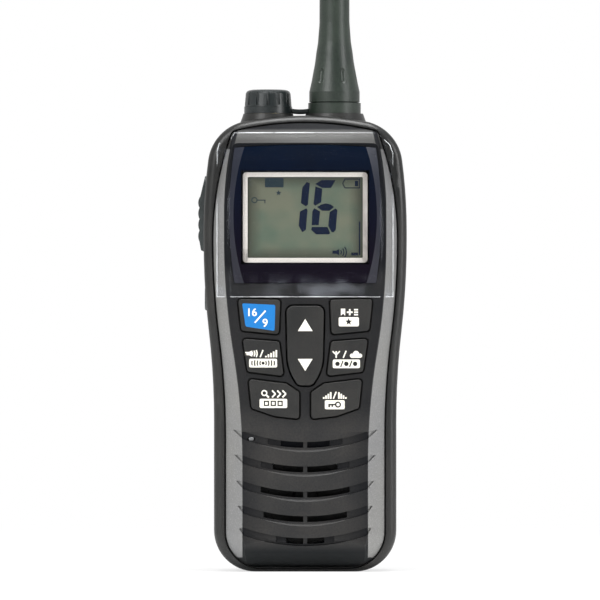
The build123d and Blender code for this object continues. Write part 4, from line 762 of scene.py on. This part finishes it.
def loudspeaker(x, z, size):
    """Loudspeaker seen from the side: box and flared horn."""
    middle = x + 0.55 * size
    horn = plate(middle, z, 0.5 * size, 1.0 * size)
    pushed(horn, lambda i, px, pz: px < middle and pz > z, 0, -0.25 * size)
    pushed(horn, lambda i, px, pz: px < middle and pz < z, 0, 0.25 * size)
    return [plate(x, z, 0.62 * size, 0.5 * size), horn]


def volume_signs(white, dark):
    """Volume key: loudspeaker, waves and steps, above a field with listening waves."""
    node = "key_volume"
    signs = loudspeaker(-16.1, 60.75, 1.75)
    signs += [bow(-15.2, 60.75, 0.8 + 0.62 * i, 0.34, 0, 82 - 10 * i) for i in range(3)]
    signs += [stroke(-12.5, 59.75, -11.7, 61.75, 0.36)]
    signs += [plate(-10.9 + 0.72 * i, 59.72 + 0.2 * (i + 1), 0.46, 0.4 * (i + 1)) for i in range(5)]
    printed(signs + [pill(-15.55, -7.8, 56.9, 59.3)], "legend_volume", white, node, node)
    waves = [disc(-11.68, 58.1, 0.42)]
    for side in (0, 180):
        waves += [bow(-11.68, 58.1, 1.05 + 0.75 * i, 0.34, side, 70 - 16 * i) for i in range(4)]
    printed(waves, "waves_volume", dark, node, node, 2)


def channel_signs(white, dark):
    """Channel key: mast and cloud, above a field with three dots and two slashes."""
    node = "key_channel"
    signs = [stroke(8.6, 59.55, 8.6, 61.4, 0.4)]
    signs += [stroke(7.6, 61.4, 8.6, 60.4, 0.36), stroke(9.6, 61.4, 8.6, 60.4, 0.36)]
    signs += [stroke(10.55, 59.55, 11.35, 61.5, 0.36)]
    signs += [disc(13.0, 60.15, 0.6), disc(14.1, 60.65, 0.85), disc(15.2, 60.15, 0.6)]
    signs += [plate(14.1, 59.85, 2.2, 0.6)]
    printed(signs + [pill(7.65, 15.2, 56.7, 59.1)], "legend_channel", white, node, node)
    marks = [disc(8.95 + 2.45 * i, 57.9, 0.62) for i in range(3)]
    marks += [stroke(9.85 + 2.45 * i, 57.05, 10.5 + 2.45 * i, 58.75, 0.34) for i in range(2)]
    printed(marks, "marks_channel", dark, node, node, 2)


def scan_signs(white, dark):
    """Scan key: magnifier and double arrowhead, above a field with two open squares."""
    node = "key_scan"
    signs = [ring(-11.35, 49.8, 0.85, 0.36), stroke(-10.8, 49.25, -10.1, 48.55, 0.46)]
    for x in (-9.2, -7.75, -6.3):
        signs += [stroke(x, 50.5, x + 0.95, 49.55, 0.42), stroke(x, 48.6, x + 0.95, 49.55, 0.42)]
    printed(signs + [pill(-12.65, -5.0, 45.65, 48.2)], "legend_scan", white, node, node)
    squares = []
    for x in (-10.75, -8.85, -6.95):
        squares += [plate(x, 46.35, 1.45, 0.34), plate(x, 47.5, 1.45, 0.34)]
        squares += [plate(x - 0.56, 46.92, 0.34, 1.3), plate(x + 0.56, 46.92, 0.34, 1.3)]
    printed(squares, "squares_scan", dark, node, node, 2)


def power_level_signs(white, dark):
    """Power-level key: rising and falling steps, above a field with a key."""
    node = "key_power_level"
    signs = [plate(5.15 + 0.64 * i, 48.2 + 0.23 * (i + 1), 0.46, 0.46 * (i + 1)) for i in range(4)]
    signs += [stroke(7.8, 48.2, 8.6, 50.15, 0.36)]
    signs += [plate(9.35 + 0.64 * i, 48.2 + 0.23 * (4 - i), 0.46, 0.46 * (4 - i)) for i in range(4)]
    printed(signs + [pill(5.45, 10.95, 45.3, 47.8)], "legend_power_level", white, node, node)
    sign = [ring(9.1, 46.6, 0.85, 0.38), plate(7.4, 46.6, 1.95, 0.4), plate(6.65, 46.25, 0.45, 0.8),
            plate(7.5, 46.3, 0.4, 0.7)]
    printed(sign, "sign_power_level", dark, node, node, 2)


# ---------------------------------------------------------------- display content
def on_glass(shapes, name, material):
    """Lay flat shapes on the display's front face."""
    piece = joined(shapes)
    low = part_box("display_glass")[0]
    edit(piece)
    bpy.ops.transform.translate(value=(0, low.y, 0))
    close()
    return finished(film(piece), name, material, "case", 20)


def digit_one():
    """Leaning figure 1 in two segments with slanted ends."""
    upper = [(0.42, 108.4), (-0.83, 106.8), (-1.2, 102.55), (0.13, 101.65), (0.75, 102.05), (1.3, 108.05)]
    lower = [(0.3, 101.1), (-1.45, 100.2), (-1.83, 96.25), (-0.8, 94.45), (0.2, 95.1), (0.65, 100.6)]
    return [outlined(upper), outlined(lower)]


def digit_six():
    """Leaning figure 6 in six segments with thin gaps between them."""
    top = [(4.6, 108.95), (2.8, 107.85), (4.65, 106.75), (7.15, 106.75), (8.45, 108.9)]
    upper_left = [(2.85, 107.15), (2.3, 102.3), (2.8, 101.8), (4.45, 102.8), (4.75, 106.5)]
    middle = [(5.75, 102.45), (4.4, 102.1), (3.3, 101.45), (4.65, 100.4), (6.75, 100.4), (8.0, 101.45),
              (7.1, 102.15)]
    lower_left = [(2.55, 101.1), (2.0, 100.35), (1.8, 96.4), (3.75, 96.4), (4.15, 100.2)]
    bottom = [(1.85, 95.9), (1.65, 95.1), (3.0, 93.85), (6.6, 93.85), (6.95, 94.15), (6.2, 95.9)]
    lower_right = [(8.4, 101.05), (6.8, 100.05), (6.4, 96.25), (7.3, 94.5), (7.85, 94.4), (8.5, 95.1),
                   (8.95, 100.6)]
    return [outlined(shape) for shape in (top, upper_left, middle, lower_left, bottom, lower_right)]


def display_content():
    """Channel sixteen in leaning segments, battery sign, star, bars and small blocks."""
    ink = printed_ink("Liquid_crystal_segments", "#07142c", 0.35)
    faint = printed_ink("Faded_liquid_crystal_segments", "#26343c", 0.4)
    on_glass(digit_one() + digit_six(), "display_sixteen", ink)
    marks = [pill(-11.2, -6.0, 106.9, 109.5, 0.3), star(-7.4, 105.35, 0.85)]
    marks += [ring(-14.1, 103.35, 0.85, 0.28), plate(-12.2, 103.35, 2.4, 0.28)]
    marks += [plate(-11.2, 102.95, 0.28, 0.9)]
    on_glass(marks, "display_marks", faint)
    cell = [plate(13.1, 109.2, 4.2, 0.28), plate(13.1, 106.75, 4.2, 0.28)]
    cell += [stroke(11.05, 109.2, 10.4, 107.97, 0.28), stroke(10.4, 107.97, 11.05, 106.75, 0.28)]
    cell += [plate(14.25, 107.97, 0.9, 1.5), plate(15.1, 107.97, 0.24, 2.6)]
    on_glass(cell, "display_battery", ink)
    level = loudspeaker(8.1, 88.9, 1.7) + [bow(9.1, 88.9, 1.1 + 0.7 * i, 0.3, 0, 80) for i in range(3)]
    level += [plate(13.75, 88.4, 1.9, 0.8), plate(15.1, 92.75, 0.42, 9.3)]
    on_glass(level, "display_level", ink)


# ---------------------------------------------------------------- rubber strap between cap and antenna
STRAP_SPAN = (-3.85, 1.05)  # from the eyelet's edge to the anchor's edge
STRAP_Y = 3.0
STRAP_Z = 128.45
STRAP_W = 3.2
STRAP_T = 1.35
STRAP_SAG = 0.22


def tether_strap(rubber):
    """Strap of the cap's tether, sagging a little along its length."""
    deselect()
    length = STRAP_SPAN[1] - STRAP_SPAN[0]
    middle = sum(STRAP_SPAN) / 2
    bpy.ops.mesh.primitive_cube_add(size=MM, location=(middle * MM, STRAP_Y * MM, STRAP_Z * MM))
    strap = bpy.context.object
    strap.scale = (length, STRAP_W, STRAP_T)
    settle(strap)
    edit(strap)
    bpy.ops.mesh.bevel(offset=0.3 * MM, segments=2, affect="EDGES")
    for i in range(1, 10):
        bpy.ops.mesh.select_all(action="SELECT")
        cut = (STRAP_SPAN[0] + length * i / 10) * MM
        bpy.ops.mesh.bisect(plane_co=(cut, 0, 0), plane_no=(1, 0, 0))
    close()
    for vertex in strap.data.vertices:
        along = (vertex.co.x / MM - middle) / (length / 2)
        vertex.co.z -= STRAP_SAG * max(0.0, 1 - along**2) * MM
    finished(strap, "tether_strap_rubber", rubber, None)
    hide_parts("tether_strap")
    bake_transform(strap)


# ---------------------------------------------------------------- clear film over the window
FILM_OUTLINE = [(-24.6, 76.4), (24.5, 76.4), (24.5, 116.5), (23.6, 118.9), (20.0, 122.2), (-19.7, 122.2),
                (-20.4, 120.8), (-21.3, 119.6), (-22.6, 118.9), (-24.0, 119.4), (-24.6, 117.0)]
FILM_RIM = 0.2              # width of the cut edge, drawn as a painted highlight
FILM_SIDE_IN = 20.3         # its streaks, a painted reflection, appear between these half widths
FILM_SIDE_OUT = 21.3
FILM_FOOT_LOW = 79.0        # and its smears fade out between these heights
FILM_FOOT_HIGH = 82.8
FILM_STEP = 1.0             # spacing of the film's cross lines
FILM_LIFT = 0.12            # it lies this far in front of what it covers
FILM_T = 0.05
FILM_FREE = 2.5             # margin of its opening round the window's clear part


def film_sheet():
    """Clear polyester film: all but invisible, with pale streaks down its sides as a painted reflection and
    smears at its foot.
    """
    mat, tree, shader, place = start("Clear_polyester_film")
    where = add(tree, "ShaderNodeSeparateXYZ", {"Vector": place}).outputs
    drawn = add(tree, "ShaderNodeMapping", {"Vector": place, "Scale": (1.0, 1.0, 0.06)}).outputs["Vector"]
    # painted reflection: pale streaks down the sides; the smears at the foot are real
    streak = remap(tree, noise(tree, drawn, 2.6, 3.0, 0.6), 0.45, 0.7, 0.0, 0.07)
    off_middle = calc(tree, "ABSOLUTE", where["X"])
    side = remap(tree, off_middle, FILM_SIDE_IN * MM, FILM_SIDE_OUT * MM, 0.0, 1.0)
    smear = remap(tree, noise(tree, place, 7.0, 1.0, 0.5), 0.48, 0.8, 0.0, 0.12)
    foot = remap(tree, where["Z"], FILM_FOOT_LOW * MM, FILM_FOOT_HIGH * MM, 1.0, 0.0)
    haze = calc(tree, "ADD", calc(tree, "MULTIPLY", streak, side), calc(tree, "MULTIPLY", smear, foot))
    feed(tree, shader, Alpha=calc(tree, "ADD", haze, 0.0015))
    shader.inputs["Base Color"].default_value = linear("#b9bfcb")
    shader.inputs["Roughness"].default_value = 0.12
    return mat


def film_rim():
    """The film's cut edge: a thin bright line, a painted highlight."""
    mat, tree, shader, place = start("Film_edge_painted_highlight")
    # painted highlight: a pale half-clear line whose glints come and go along it
    glint = remap(tree, noise(tree, place, 7.0, 2.0, 0.6), 0.4, 0.65, 0.2, 0.75)
    feed(tree, shader, Alpha=glint)
    shader.inputs["Base Color"].default_value = linear("#e8ebee")
    shader.inputs["Roughness"].default_value = 0.2
    return mat


def draped(piece, under):
    """Sink a flat grid onto nodes from the front, stretched over their gaps."""
    copies = []
    for name in under:
        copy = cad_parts[name].copy()
        copy.data = copy.data.copy()
        bpy.context.scene.collection.objects.link(copy)
        copies.append(copy)
    ground = joined(copies)
    cling = piece.modifiers.new("cling", "SHRINKWRAP")
    cling.target = ground
    cling.wrap_method = "PROJECT"
    cling.use_project_y = True
    cling.use_positive_direction = True
    cling.use_negative_direction = False
    stretch = piece.modifiers.new("stretch", "SMOOTH")
    stretch.use_x = False
    stretch.use_z = False
    stretch.factor = 0.5
    stretch.iterations = 6
    apply_all(piece)
    bpy.data.objects.remove(ground)
    return piece


def cross_cut(piece):
    """Cut a flat shape, open for modelling, into a grid that can be draped."""
    for place, way in ((0, (1, 0, 0)), (1, (0, 0, 1))):
        low = min(corner[place] for corner in FILM_OUTLINE)
        high = max(corner[place] for corner in FILM_OUTLINE)
        for i in range(1, int((high - low) / FILM_STEP)):
            cut = (low + i * FILM_STEP) * MM
            bpy.ops.mesh.select_all(action="SELECT")
            bpy.ops.mesh.bisect(plane_co=(way[0] * cut, 0, way[2] * cut), plane_no=way)


def open_over_display(piece):
    """Leave out the film over the display."""
    edit(piece)
    bpy.ops.mesh.select_all(action="DESELECT")
    close()
    for face in piece.data.polygons:
        x, z = face.center.x / MM, face.center.z / MM
        face.select = abs(x) < GLASS_X + FILM_FREE and GLASS_LOW - FILM_FREE < z < GLASS_HIGH + FILM_FREE
    bpy.ops.object.mode_set(mode="EDIT")
    bpy.ops.mesh.delete(type="FACE")
    close()


def protective_film():
    """Clear film over window, forehead and upper trims, with its upper left corner cut back in a curve."""
    piece = outlined(FILM_OUTLINE)
    piece.data.materials.append(film_sheet())
    piece.data.materials.append(film_rim())
    edit(piece)
    bpy.ops.mesh.select_mode(type="FACE")
    bpy.ops.mesh.select_all(action="SELECT")
    bpy.ops.mesh.inset(thickness=FILM_RIM * MM, use_boundary=True)
    bpy.ops.mesh.select_all(action="INVERT")
    piece.active_material_index = 1
    bpy.ops.object.material_slot_assign()
    cross_cut(piece)
    bpy.ops.mesh.select_all(action="SELECT")
    bpy.ops.transform.translate(value=(0, 2 * PANEL_Y * MM, 0))
    close()
    open_over_display(piece)
    draped(piece, ["front_case", "rear_case", "side_trim_left", "side_trim_right", "window_lens"])
    edit(piece)
    bpy.ops.transform.translate(value=(0, -FILM_LIFT * MM, 0))
    close()
    film(piece, FILM_T)
    only(piece)
    piece.name = "protective_film"
    # so thin a film casts no shadow and colours no bounced light
    piece.visible_shadow = False
    piece.visible_diffuse = False
    bpy.ops.object.shade_smooth_by_angle(angle=math.radians(40))
    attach(piece, "case")


def main():
    studio()
    cap_rubber = dress_outside()
    dress_inside()
    key_legends()
    display_content()
    tether_strap(cap_rubber)
    protective_film()


main()
